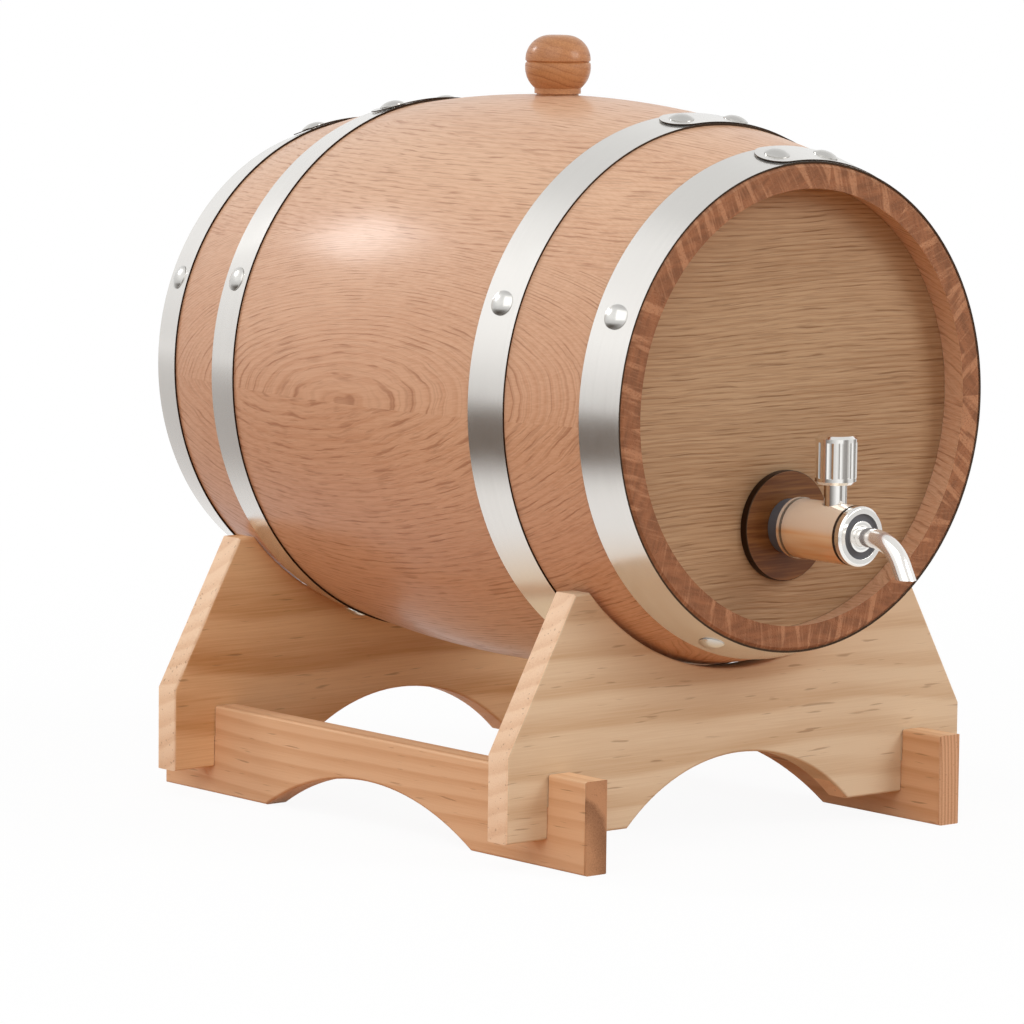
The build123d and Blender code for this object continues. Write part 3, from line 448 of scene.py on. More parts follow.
def rod(radius, start, end, steps=48, end_radius=None):
    """A closed round bar, or a cone, between two points."""
    bm = bmesh.new()
    start, end = Vector(start), Vector(end)
    made = bmesh.ops.create_cone(
        bm, cap_ends=True, segments=steps, radius1=radius,
        radius2=radius if end_radius is None else end_radius, depth=(end - start).length,
    )
    turned = UP.rotation_difference(end - start).to_matrix().to_4x4()
    place = Matrix.Translation((start + end) / 2) @ turned
    bmesh.ops.transform(bm, matrix=place, verts=made["verts"])
    return bm


def join(first, second):
    """Put the second shape's faces into the first, as they are."""
    mesh = bpy.data.meshes.new("joining")
    second.to_mesh(mesh)
    second.free()
    first.from_mesh(mesh)
    bpy.data.meshes.remove(mesh)


def mark(bm, test):
    """Give the faces that pass a test the second material."""
    for face in bm.faces:
        face.material_index = int(test(face))


def make_piece(bm, name, body, node, materials, corner=35):
    """Turn a finished shape into a piece that rides on a body in place of its CAD node."""
    bmesh.ops.remove_doubles(bm, verts=bm.verts[:], dist=1e-7)
    bmesh.ops.recalc_face_normals(bm, faces=bm.faces[:])
    mesh = bpy.data.meshes.new(name)
    bm.to_mesh(mesh)
    bm.free()
    for material in materials:
        mesh.materials.append(material)
    mesh.shade_smooth()
    mesh.set_sharp_from_angle(angle=radians(corner))
    piece = link_object(name, mesh)
    weighting = piece.modifiers.new("weighting", "WEIGHTED_NORMAL")
    weighting.keep_sharp = True
    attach(piece, body)
    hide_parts(node)


def finish_node(node, material):
    """Give a CAD node that stays a better finish."""
    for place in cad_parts[node].material_slots:
        place.link = "OBJECT"
        place.material = material


# ================================================================ node wiring
VECTOR_INPUTS = ("Place", "Cells")     # of the node groups; all the others are numbers


class Wiring:
    """Short ways to place and link the nodes of one tree."""

    def __init__(self, tree):
        self.tree = tree
        tree.nodes.clear()

    def put(self, socket, value):
        if isinstance(value, bpy.types.NodeSocket):
            self.tree.links.new(value, socket)
        elif socket.type == "RGBA":
            socket.default_value = (*value, 1.0)[:4]
        else:
            socket.default_value = value

    def node(self, kind, inputs=None, **options):
        made = self.tree.nodes.new(kind if kind.startswith("NodeGroup") else "ShaderNode" + kind)
        for name, value in options.items():
            setattr(made, name, value)
        for name, value in (inputs or {}).items():
            self.put(made.inputs[name], value)
        return made

    def row(self, kind, values, **options):
        """A node whose first inputs take these values in order."""
        made = self.node(kind, **options)
        for socket, value in zip(made.inputs, values):
            self.put(socket, value)
        return made.outputs

    def math(self, operation, *values, clamp=False):
        return self.row("Math", values, operation=operation, use_clamp=clamp)[0]

    def times(self, first, second):
        return self.math("MULTIPLY", first, second)

    def times_plus(self, first, second, third, clamp=False):
        return self.math("MULTIPLY_ADD", first, second, third, clamp=clamp)

    def vector(self, operation, *values):
        return self.row("VectorMath", values, operation=operation)[0]

    def measure(self, operation, *values):
        """A vector operation that gives a number."""
        return self.row("VectorMath", values, operation=operation)["Value"]

    def blend(self, factor, first, second):
        return self.row("MixShader", (factor, first, second))[0]

    def mix(self, factor, first, second):
        made = self.node("Mix", data_type="RGBA")
        for index, value in ((0, factor), (6, first), (7, second)):
            self.put(made.inputs[index], value)
        return made.outputs[2]

    def layer(self, shade, mask, amount, over):
        """A shade with a colour over it, by a mask times an amount."""
        return self.mix(self.times(mask, amount), shade, over)

    def sway(self, noise, amount, base, clamp=False):
        """A base value that a noise moves up and down."""
        centred = self.math("SUBTRACT", noise, 0.5)
        return self.times_plus(centred, amount, base, clamp=clamp)

    def spread(self, value, low, high, new_low=0.0, new_high=1.0, smooth=False):
        """Stretch a value between two limits over a new span, clamped."""
        kind = "SMOOTHSTEP" if smooth else "LINEAR"
        numbers = (value, low, high, new_low, new_high)
        return self.row("MapRange", numbers, interpolation_type=kind)[0]

    def noise(self, place, per_metre, detail=2.0):
        """Noise whose cells repeat this many times per metre along X, Y and Z."""
        stretched = self.vector("MULTIPLY", place, per_metre)
        inputs = {"Vector": stretched, "Scale": 1.0, "Detail": detail, "Roughness": 0.5}
        return self.node("TexNoise", inputs).outputs[0]

    def shifted(self, given):
        """The given place in another board: moved a long way by the seed."""
        made = self.node("VectorMath", {"Scale": given["Seed"]}, operation="SCALE")
        self.put(made.inputs[0], (0.31, 0.87, 0.53))
        return self.vector("ADD", given["Place"], made.outputs[0])

    def parts(self, vector):
        return self.node("SeparateXYZ", {"Vector": vector}).outputs[:3]

    def combined(self, x, y):
        return self.node("CombineXYZ", {"X": x, "Y": y}).outputs[0]

    def place(self):
        return self.node("TexCoord").outputs["Object"]

    def wood_place(self, origin, rotation):
        """Place in a piece's own wood: X across, Y along, Z out through its face."""
        inputs = {"Vector": self.place(), "Location": origin, "Rotation": rotation}
        return self.node("Mapping", inputs, vector_type="TEXTURE").outputs[0]

    def group(self, name, build, inputs):
        """Outputs of a shader node group with these inputs. It's built the first time."""
        group = bpy.data.node_groups.get(name)
        if group is None:
            group = bpy.data.node_groups.new(name, "ShaderNodeTree")
            for title in inputs:
                kind = "NodeSocketVector" if title in VECTOR_INPUTS else "NodeSocketFloat"
                group.interface.new_socket(title, in_out="INPUT", socket_type=kind)
            inside = Wiring(group)
            made = build(inside, inside.node("NodeGroupInput").outputs)
            for title in made:
                group.interface.new_socket(title, in_out="OUTPUT", socket_type="NodeSocketFloat")
            inside.node("NodeGroupOutput", made)
        return self.node("Group", inputs, node_tree=group).outputs

    def wear(self, cells):
        """Faint clouds and fine scratches, as many per metre along X, Y and Z as the cells."""
        return self.group("metal_wear", build_wear, {"Place": self.place(), "Cells": cells})

    def output(self, kind, surface):
        self.node("Output" + kind, {"Surface": surface})


def build_oak(net, given):
    """Ring bands, open pores, fibres and slow tone of oak. Y runs along the wood."""
    place = net.shifted(given)
    x, z = net.parts(given["Place"])[::2]
    phase = net.times(x, given["Across"])
    phase = net.times_plus(z, given["Depth"], phase)
    phase = net.times_plus(net.times(x, x), given["Bow"], phase)
    phase = net.sway(net.noise(place, (20, 7, 20)), given["Wander"], phase)
    phase = net.sway(net.noise(place, (140, 45, 140)), 0.8, phase)
    saw = net.math("FRACT", phase)
    early = net.spread(saw, 0.08, 0.6, 1.0, 0.0, smooth=True)
    early = net.times(early, net.spread(saw, 0.0, 0.08))
    drawn = net.combined(phase, net.parts(place)[1])
    cell = net.combined(2.6, given["Streaks"])
    fine_cell = net.vector("MULTIPLY", cell, (2.2, 1.8, 1))
    streaks = net.spread(net.noise(drawn, cell), 0.54, 0.64)
    fine = net.spread(net.noise(drawn, fine_cell, 1.0), 0.52, 0.70)
    gate = net.spread(early, 0.0, 1.0, given["Plain pores"], 1.0)
    pores = net.times(streaks, gate)
    pores = net.times_plus(fine, 0.35, pores, clamp=True)
    fibres = net.noise(place, (2000, 45, 2000), 3.0)
    tone = net.noise(place, (26, 5, 26), 3.0)
    return {"Rings": early, "Pores": pores, "Fibres": fibres, "Tone": tone}


def build_end(net, given):
    """Rays, ring bands and pores on wood sawn across. Y runs along the wood."""
    place = net.shifted(given)
    inputs = {"Vector": place, "Angle": given["Slant"]}
    place = net.node("VectorRotate", inputs, rotation_type="Y_AXIS").outputs[0]
    rays = net.spread(net.noise(place, (330, 30, 46)), 0.54, 0.64)
    thin = net.spread(net.noise(place, (1500, 30, 130), 1.0), 0.52, 0.72)
    rays = net.times_plus(thin, 0.45, rays, clamp=True)
    rings = net.noise(place, (110, 30, 500))
    pores = net.spread(net.noise(place, (1700, 60, 1700), 1.0), 0.55, 0.68)
    return {"Rays": rays, "Rings": rings, "Pores": pores}


def build_pine(net, given):
    """Late-wood bands round a pith, resin dashes, fibres and tone. Y runs along the wood."""
    place = net.shifted(given)
    x, z = net.parts(given["Place"])[::2]
    away = net.math("POWER", net.math("ADD", x, given["Pith across"]), 2.0)
    deep = net.math("POWER", net.math("ADD", z, given["Pith depth"]), 2.0)
    radius = net.math("SQRT", net.math("ADD", away, deep))
    phase = net.times(radius, given["Rings"])
    phase = net.sway(net.noise(place, (16, 5, 16)), 2.4, phase)
    phase = net.sway(net.noise(place, (110, 14, 110)), 0.35, phase)
    saw = net.math("FRACT", phase)
    late = net.spread(saw, 0.15, 0.85, smooth=True)
    late = net.times(late, net.spread(saw, 0.86, 1.0, 1.0, 0.0))
    dashes = net.spread(net.noise(place, (900, 75, 900), 1.0), 0.68, 0.76)
    fibres = net.noise(place, (2200, 45, 2200), 3.0)
    tone = net.noise(place, (24, 6, 24), 3.0)
    return {"Bands": late, "Dashes": dashes, "Fibres": fibres, "Tone": tone}


def build_wear(net, given):
    """Faint clouds, and scratches in cells of the given size."""
    clouds = net.spread(net.noise(given["Place"], (70, 70, 70), 3.0), 0.35, 0.7)
    return {"Clouds": clouds, "Scratches": net.noise(given["Place"], given["Cells"])}


# ================================================================ materials
def dimmed(tone, factor):
    return [value * factor for value in tone]


def new_material(name):
    material = bpy.data.materials.new(name)
    material.use_nodes = True
    return material, Wiring(material.node_tree)


def finish(net, inputs, height, depth, rise):
    """Principled surface with a bump of this depth."""
    bump = net.node("Bump", {"Height": height, "Distance": depth, "Strength": rise})
    inputs["Normal"] = bump.outputs[0]
    net.output("Material", net.node("BsdfPrincipled", inputs).outputs[0])


def oak_material(name, origin, rotation, palette, sawn, rings=0.35, gloss=0.4):
    """Side grain of oak, from its light, dark and pore colours and how it was sawn."""
    material, net = new_material(name)
    place = net.wood_place(origin, rotation)
    grain = net.group("oak_grain", build_oak, {"Place": place, **sawn})
    light, dark, pore = palette
    amount = net.times(grain["Rings"], rings)
    amount = net.sway(grain["Fibres"], 1.2, amount)
    amount = net.sway(grain["Tone"], 1.2, amount)
    amount = net.math("ADD", amount, 0.2, clamp=True)
    shade = net.layer(net.mix(amount, light, dark), grain["Pores"], 0.5, pore)
    inputs = {
        "Base Color": shade,
        "Roughness": net.times_plus(grain["Pores"], 0.2, 0.5),
        "Specular IOR Level": 0.25,
        "Coat Weight": gloss,
        "Coat Roughness": 0.23,
    }
    raised = net.times(grain["Fibres"], 0.25)
    finish(net, inputs, net.math("SUBTRACT", raised, grain["Pores"]), 0.0001, 0.6)
    return material


def end_material(name, origin, rotation, seed, slant, wood, ray, pore):
    """Oak sawn across, with light rays."""
    material, net = new_material(name)
    inputs = {
        "Place": net.wood_place(origin, rotation), "Seed": seed, "Slant": radians(slant),
    }
    grain = net.group("oak_end", build_end, inputs)
    shade = net.mix(net.spread(grain["Rings"], 0.35, 0.65), wood, dimmed(wood, 0.68))
    shade = net.layer(shade, grain["Rays"], 0.62, ray)
    shade = net.layer(shade, grain["Pores"], 0.45, pore)
    raised = net.times(grain["Rays"], 0.3)
    height = net.math("SUBTRACT", raised, grain["Pores"])
    inputs = {"Base Color": shade, "Roughness": 0.6, "Specular IOR Level": 0.25}
    finish(net, inputs, height, 0.00015, 0.6)
    return material


def pine_material(name, origin, rotation, seed, pith, rings, palette, band=0.75):
    """Pine from its light and band colours, with rings about a pith."""
    material, net = new_material(name)
    inputs = {
        "Place": net.wood_place(origin, rotation),
        "Seed": seed,
        "Pith across": pith[0],
        "Pith depth": pith[1],
        "Rings": rings,
    }
    grain = net.group("pine_grain", build_pine, inputs)
    amount = net.times(grain["Bands"], band)
    amount = net.sway(grain["Fibres"], 0.8, amount)
    amount = net.sway(grain["Tone"], 1.0, amount, clamp=True)
    shade = net.mix(amount, *palette)
    shade = net.layer(shade, grain["Dashes"], 0.4, settings("stand").pine_dash)
    height = net.math("SUBTRACT", grain["Fibres"], grain["Dashes"])
    inputs = {"Base Color": shade, "Roughness": 0.52, "Specular IOR Level": 0.25}
    finish(net, inputs, height, 0.0001, 0.5)
    return material


# Each metal: the group and name of its colour setting, its roughness, its scratches per metre
# along X, Y and Z and their depth, and how metallic it is.
METALS = {
    "hoop_strap": ("cask", "steel_colour", 0.17, (18, 1200, 18), 0.000001, 0.86),
    # The straps' cut edges: dark, as painted shade of the gap between strap and wood.
    "hoop_cut_edge": ("cask", "cut_colour", 0.45, (900, 900, 900), 0.00001, 1.0),
    "rivet_dome": ("cask", "rivet_colour", 0.2, (500, 500, 500), 0.00001, 1.0),
    "fastener_steel": ("cask", "steel_colour", 0.3, (400, 400, 400), 0.00001, 1.0),
    "rim_steel": ("cask", "cut_colour", 0.35, (400, 400, 400), 0.00001, 1.0),
    "polished_chrome": ("tap", "chrome", 0.08, (300, 300, 300), 0.000003, 1.0),
    "knob_chrome": ("tap", "chrome", 0.12, (500, 500, 500), 0.000003, 1.0),
    "spout_chrome": ("tap", "chrome", 0.1, (300, 300, 300), 0.000003, 0.75),
}


def metal(name):
    """Bare or plated metal with fine scratches and faint clouds, made once."""
    if name in bpy.data.materials:
        return bpy.data.materials[name]
    group, setting, rough, cells, depth, metallic = METALS[name]
    tone = getattr(settings(group), setting)
    material, net = new_material(name)
    wear = net.wear(cells)
    shade = net.layer(tone, wear["Scratches"], 0.25, dimmed(tone, 0.8))
    rough = net.times_plus(wear["Clouds"], 0.04, rough)
    rough = net.times_plus(wear["Scratches"], 0.04, rough)
    inputs = {"Base Color": shade, "Metallic": metallic, "Roughness": rough}
    finish(net, inputs, wear["Scratches"], depth, 0.5)
    return material


def seal_rubber():
    """Dull moulded rubber, made once."""
    if "moulded_rubber" in bpy.data.materials:
        return bpy.data.materials["moulded_rubber"]
    rubber = settings("tap").rubber
    material, net = new_material("moulded_rubber")
    wear = net.wear((900, 900, 900))
    shade = net.layer(rubber, wear["Clouds"], 0.5, dimmed(rubber, 0.7))
    inputs = {"Base Color": shade, "Roughness": 0.5}
    finish(net, inputs, wear["Scratches"], 0.00005, 0.5)
    return material


def body_chrome():
    """Polished barrel of the tap, with light painted in: a painted highlight above, a painted
    reflection of the head's wood below, and painted shade in the joints at its two ends.
    """
    tap = settings("tap")
    stack = tap_stack()
    material, net = new_material("body_chrome")
    wear = net.wear((500, 500, 500))
    place = net.place()
    y, z = net.parts(place)[1:]
    # painted reflection of the head's wood and its grain in the lower half
    reflection_waves_mask = net.spread(net.noise(place, (60, 25, 420)), 0.35, 0.65)
    warm = net.mix(reflection_waves_mask, tap.body_warm, tap.body_amber)
    # painted highlight over the upper half
    painted_highlight_mask = net.spread(z, TAP.z + PAINTED_HIGHLIGHT_FROM, TAP.z + PAINTED_HIGHLIGHT_TO, smooth=True)
    shade = net.mix(painted_highlight_mask, warm, tap.body_colour)
    # painted shade along the neck's groove and where the cap meets the barrel
    for out, half in ((stack["body"] + BODY_NECK, NECK_SHADE), (stack["front"], LIP_SHADE)):
        joint = AXIS.y - out
        off = net.math("ABSOLUTE", net.math("SUBTRACT", y, joint))
        dark = net.spread(off, half * 0.6, half, 1.0, 0.0)
        shade = net.mix(dark, shade, tap.joint_painted_shade)
    rough = net.times_plus(wear["Clouds"], 0.04, 0.12)
    inputs = {"Base Color": shade, "Metallic": 0.42, "Roughness": rough}
    finish(net, inputs, wear["Scratches"], 0.000003, 0.5)
    return material


def painted_reflection_plate():
    """Dark brown with fine level streaks on the escutcheon plate's face: a painted reflection of
    dark brown surroundings in its polished metal.
    """
    tap = settings("tap")
    material, net = new_material("plate_brown")
    wear = net.wear((50, 50, 1100))
    streaks = net.spread(wear["Scratches"], 0.38, 0.66)
    inputs = {
        "Base Color": net.mix(streaks, tap.plate_reflection_dark, tap.plate_reflection_streaks),
        "Roughness": net.times_plus(wear["Clouds"], 0.1, 0.34),
        "Specular IOR Level": 0.3,
    }
    finish(net, inputs, wear["Scratches"], 0.00001, 0.4)
    return material


# ================================================================ cask
def outwards(angle):
    """Direction at this angle from +X round the cask's axis."""
    return Vector((cos(angle), 0, sin(angle)))


def radial_point(angle, along, radius):
    """Point this far out from the cask's axis, along from its middle to the rear."""
    return AXIS + ALONG * along + outwards(angle) * radius


def outer_radius(along):
    cask = settings("cask")
    bend = arc_radius(cask.bilge_rise, HALF_LENGTH)
    return cask.bilge_radius - bend + sqrt(bend**2 - along**2)


def inner_radius(along):
    cask = settings("cask")
    middle = cask.bilge_radius - cask.stave_thickness
    ends = cask.bilge_radius - cask.bilge_rise - cask.chime_thickness
    bend = arc_radius(middle - ends, HALF_LENGTH)
    return middle - bend + sqrt(bend**2 - along**2)


def stave_shape(angle, width):
    """One stave: its long section with both crozes, spun through its width."""
    cask = settings("cask")
    bevel = HALF_LENGTH - cask.chime_bevel
    tongue = HALF_LENGTH - cask.head_recess - cask.head_thickness / 2
    near = tongue - cask.tongue / 2 - CLEARANCE
    far = tongue + cask.tongue / 2 + CLEARANCE
    floor = inner_radius(HALF_LENGTH - cask.head_recess) + cask.croze_depth + CLEARANCE
    end = [
        (HALF_LENGTH, outer_radius(HALF_LENGTH) - cask.chime_bevel),
        (HALF_LENGTH, inner_radius(HALF_LENGTH)),
        (far, inner_radius(far)),
        (far, floor),
        (near, floor),
        (near, inner_radius(near)),
    ]

    def at(along, radius):
        return radial_point(angle, along, radius)

    def bow(radius, along, side, steps):
        target = at(side * along, radius(along))
        outline.arc(target, outwards(angle), radius(0) - radius(along), steps)

    outline = Outline(at(-bevel, outer_radius(bevel)))
    bow(outer_radius, bevel, 1, STAVE_STEPS)
    outline.line(*[at(*corner) for corner in end])
    bow(inner_radius, near, -1, STAVE_STEPS // 2)
    outline.line(*[at(*corner) for corner in mirrored(end)[1:]])
    return outline.swept(AXIS, -ALONG, radians(width), round(width / STAVE_STEP))


def bung_hole():
    """Tapered hole for the bung, as a shape to cut away."""
    bung = settings("bung")
    collar_foot = BUNG_HIGH.z - bung.knob_height - bung.collar_height
    radius = bung.collar_radius - BUNG_LEDGE + BUNG_FIT
    tip = Vector((0, BUNG_Y, collar_foot - bung.plug_length))
    mouth = Vector((0, BUNG_Y, collar_foot + BUNG_SPARE))
    return rod(radius - BUNG_TAPER, tip, mouth, end_radius=radius)


def oak_sawn(seed, across, depth, wander, streaks, plain_pores, bow=0):
    """How a piece of oak was sawn and what shows on it, for the oak's node group."""
    return {
        "Seed": seed, "Across": across, "Depth": depth, "Bow": bow, "Wander": wander,
        "Streaks": streaks, "Plain pores": plain_pores,
    }


class CASK_OT_staves(bpy.types.Operator):
    """Model the twelve oak staves"""

    bl_idname = "cask.staves"
    bl_label = "Staves"

    def execute(self, context):
        cask = settings("cask")
        palette = (cask.stave_colour, cask.stave_dark, cask.stave_pore)
        end_palette = (cask.end_colour, cask.end_ray, cask.stave_pore)
        bevel = HALF_LENGTH - cask.chime_bevel
        joint = FIRST_JOINT
        for number, width in enumerate(STAVE_WIDTHS, start=1):
            node = f"stave_{number:02d}"
            bm = stave_shape(radians(joint), width)
            if number == 1:
                bm = carved(bm, bung_hole())
            mark(bm, lambda face: abs(face.calc_center_median().y - AXIS.y) > bevel)
            across, depth, slant, tilt = SAWN[number - 1]
            facing = joint + width / 2
            sawn = oak_sawn(number, across, depth, 3.0, 75, 0.5)
            if number == OVAL_STAVE:
                facing = OVAL_ANGLE
                sawn = oak_sawn(number, across, depth, 3.2, 62, 0.25, -OVAL_BOW)
            turned = Matrix.Rotation(radians(90 - facing), 3, "Y")
            turned = turned @ Matrix.Rotation(radians(tilt), 3, "Z")
            lie = tuple(turned.to_euler())
            side = oak_material(f"{node}_side", AXIS, lie, palette, sawn)
            end = end_material(f"{node}_end", AXIS, lie, number, slant, *end_palette)
            make_piece(bm, f"oak_{node}", "cask", node, [side, end])
            joint += width
        return {"FINISHED"}


def head_shape(side):
    """A head: a disc with a thinner tongue round its edge, seen from the front (-1) or rear."""
    cask = settings("cask")
    face = HALF_LENGTH - cask.head_recess
    back = face - cask.head_thickness
    tongue = face - cask.head_thickness / 2
    outer, inner = tongue + cask.tongue / 2, tongue - cask.tongue / 2
    radius = inner_radius(face) - CLEARANCE
    rim = inner_radius(face) + cask.croze_depth
    bevel = (cask.head_thickness - cask.tongue) / 2
    corners = (
        (face, 0), (face, radius), (outer, radius), (outer, rim), (inner, rim),
        (inner, radius), (back, radius - bevel), (back, 0),
    )
    outline = Outline(*[radial_point(pi / 2, side * along, out) for along, out in corners])
    return outline.turned(AXIS, ALONG, 120)


class CASK_OT_heads(bpy.types.Operator):
    """Model the two oak heads"""

    bl_idname = "cask.heads"
    bl_label = "Heads"

    def execute(self, context):
        cask = settings("cask")
        palette = (cask.head_colour, cask.head_dark, cask.head_pore)
        for seed, (place, side) in enumerate((("front", -1), ("rear", 1)), start=21):
            bm = head_shape(side)
            if side < 0:
                bm = carved(bm, rod(SHANK_HOLE, TAP - ALONG * HALF_LENGTH, TAP))
            sawn = oak_sawn(seed, 120, 620, 7.0, 55, 0.35)
            oak = oak_material(f"head_{place}_oak", AXIS, SIDEWAYS, palette, sawn, gloss=0.1)
            make_piece(bm, f"oak_head_{place}", "cask", f"head_{place}", [oak])
        return {"FINISHED"}


class Hoop:
    """Where one hoop lies: the cone of its strap, its lap and its rivets."""

    def __init__(self, name, middle, lap_angle, side_angle):
        cask = settings("cask")
        half = cask.hoop_width / 2
        self.name = name
        self.middle = middle
        self.first = middle - half
        self.last = middle + half
        self.first_radius = outer_radius(self.first) + HOOP_FIT
        self.last_radius = outer_radius(self.last) + HOOP_FIT
        self.slope = (self.last_radius - self.first_radius) / cask.hoop_width
        self.lap_start = lap_angle + LAP_SPREAD / 2
        self.lap_end = lap_angle - LAP_SPREAD / 2 - LAP_RUNOUT
        self.shift = cask.hoop_thickness / sin(radians(self.lap_start - self.lap_end))
        self.moved = AXIS + outwards(radians(self.lap_end + 90)) * self.shift
        self.rivets = [self.lap_start, self.lap_start - LAP_SPREAD]
        self.rivets += [side_angle + SINGLE_RIVET_STEP * number for number in range(SINGLE_RIVETS)]

    def seat(self, angle):
        """Matrix on the strap's outer face, its Z along the rivet that goes there."""
        lapped = self.lap_end < angle <= self.lap_start
        lift = self.shift * sin(radians(angle - self.lap_end)) if lapped else 0
        middle = (self.first_radius + self.last_radius) / 2
        radius = middle + settings("cask").hoop_thickness + lift
        angle = radians(angle)
        normal = (outwards(angle) - ALONG * self.slope).normalized()
        tangent = outwards(angle + pi / 2)
        turned = Matrix((tangent, normal.cross(tangent), normal)).transposed().to_4x4()
        return Matrix.Translation(radial_point(angle, self.middle, radius)) @ turned

    def section(self, angle, centre, bottom, top):
        """Outline of the strap between two heights above the hoop's inner cone."""
        corners = (
            (self.first, self.first_radius + bottom), (self.last, self.last_radius + bottom),
            (self.last, self.last_radius + top), (self.first, self.first_radius + top),
        )
        out = outwards(angle)
        return Outline(*[centre + ALONG * along + out * radius for along, radius in corners])

    def is_cut(self, face):
        """Whether a face is the strap's cut edge: it looks along the strap, not out or in."""
        middle = face.calc_center_median() - AXIS
        out = Vector((middle.x, -self.slope * middle.xz.length, middle.z)).normalized()
        return abs(face.normal.dot(out)) < 0.7


def hoops():
    chime = HALF_LENGTH - CHIME_SETBACK - settings("cask").hoop_width / 2
    quarter = HALF_LENGTH - QUARTER_SETBACK
    # the middle, then degrees from +X to the lap and to the first single rivet
    return [
        Hoop("front_chime", -chime, 87.5, 156.6),
        Hoop("front_quarter", -quarter, 88.0, 158.0),
        Hoop("rear_quarter", quarter, 94.0, 159.0),
        Hoop("rear_chime", chime, 95.0, 158.5),
    ]


def lap_shape(hoop):
    """Outer end of a lapped strap, which lifts off the layer below and ends round."""
    cask = settings("cask")
    angle = radians(hoop.lap_end + LAP_ROOT)
    sweep = radians(hoop.lap_start - hoop.lap_end + LAP_OVERRUN)
    outline = hoop.section(angle, hoop.moved, cask.hoop_thickness / 2, cask.hoop_thickness)
    layer = outline.swept(hoop.moved, -ALONG, sweep, 42)
    reach = outer_radius(hoop.middle) * sweep
    half = cask.hoop_width / 2
    edge = Outline((0, -half, -reach / 2))
    edge.arc((0, half, -reach / 2), ACROSS, half * 0.9999, 24)
    edge.line((-reach, half, -reach / 2), (-reach, -half, -reach / 2))
    tongue = edge.pulled((0, 0, reach))
    bmesh.ops.transform(tongue, matrix=hoop.seat(hoop.lap_start), verts=tongue.verts[:])
    return carved(layer, tongue, "INTERSECT")


class CASK_OT_hoops(bpy.types.Operator):
    """Model the four steel hoops with their riveted laps"""

    bl_idname = "cask.hoops"
    bl_label = "Hoops"

    def execute(self, context):
        steel = [metal("hoop_strap"), metal("hoop_cut_edge")]
        for hoop in hoops():
            outline = hoop.section(0, AXIS, 0, settings("cask").hoop_thickness)
            outline.close()
            bm = outline.turned(AXIS, ALONG, 200)
            join(bm, lap_shape(hoop))
            # the cut edges get the second, dark finish: painted shade of the gap against the wood
            mark(bm, hoop.is_cut)
            node = f"hoop_{hoop.name}"
            make_piece(bm, f"steel_{node}", "cask", node, steel)
        return {"FINISHED"}


def rivet_shape():
    """A dome-headed rivet with its shank, standing on the origin."""
    cask = settings("cask")
    radius, height = cask.rivet_radius, cask.rivet_height
    depth = cask.hoop_thickness + RIVET_DEPTH
    outline = Outline((0, 0, height))
    base = Vector((radius, 0, RIVET_RIM))
    chord = base - UP * height
    dome = arc_radius(height, radius)
    outline.arc(base, Vector((1, 0, 1)), dome - sqrt(dome**2 - (chord.length / 2) ** 2), 10)
    outline.line((radius, 0, 0), (RIVET_SHANK, 0, 0), (RIVET_SHANK, 0, -depth), (0, 0, -depth))
    return outline.turned(Vector(), UP, 40)


class CASK_OT_rivets(bpy.types.Operator):
    """Model the rivets of every hoop"""

    bl_idname = "cask.rivets"
    bl_label = "Rivets"

    def execute(self, context):
        steel = [metal("rivet_dome")]
        for hoop in hoops():
            bm = bmesh.new()
            for angle in hoop.rivets:
                rivet = rivet_shape()
                bmesh.ops.transform(rivet, matrix=hoop.seat(angle), verts=rivet.verts[:])
                join(bm, rivet)
            node = f"rivets_{hoop.name}"
            make_piece(bm, f"rivets_on_{hoop.name}", "cask", node, steel, 50)
        return {"FINISHED"}


class CASK_OT_bung(bpy.types.Operator):
    """Model the turned bung"""

    bl_idname = "cask.bung"
    bl_label = "Bung"

    def execute(self, context):
        bung = settings("bung")
        top = BUNG_HIGH.z
        base = top - bung.knob_height
        foot = base - bung.collar_height
        groove = base + bung.groove_height
        plug = bung.collar_radius - BUNG_LEDGE
        tip = foot - bung.plug_length
        knob, collar, cut = bung.knob_radius, bung.collar_radius, bung.groove_depth

        def at(radius, height):
            return Vector((radius, BUNG_Y, height))

        outline = Outline(at(0, top), at(BUNG_FLAT, top))
        outline.arc(at(knob, groove + cut), Vector((1, 0, 1)), CROWN_BULGE, 16)
        outline.line(at(knob - cut, groove), at(knob, groove - cut))
        outline.arc(at(collar, base), Vector((1, 0, -1)), LOWER_BULGE, 12)
        outline.line(at(collar, foot), at(plug, foot), at(plug - BUNG_TAPER, tip), at(0, tip))
        bm = outline.turned(Vector((0, BUNG_Y, 0)), UP, 72)
        sawn = oak_sawn(31, 90, 420, 3.0, 90, 0.4)
        palette = (bung.wood, bung.wood_dark, bung.wood_dark)
        turned = (0, 0, radians(-40))
        wood = oak_material("bung_oak", (0, BUNG_Y, base), turned, palette, sawn, 0.25, 0.5)
        make_piece(bm, "turned_bung", "bung", "bung", [wood], 30)
        return {"FINISHED"}


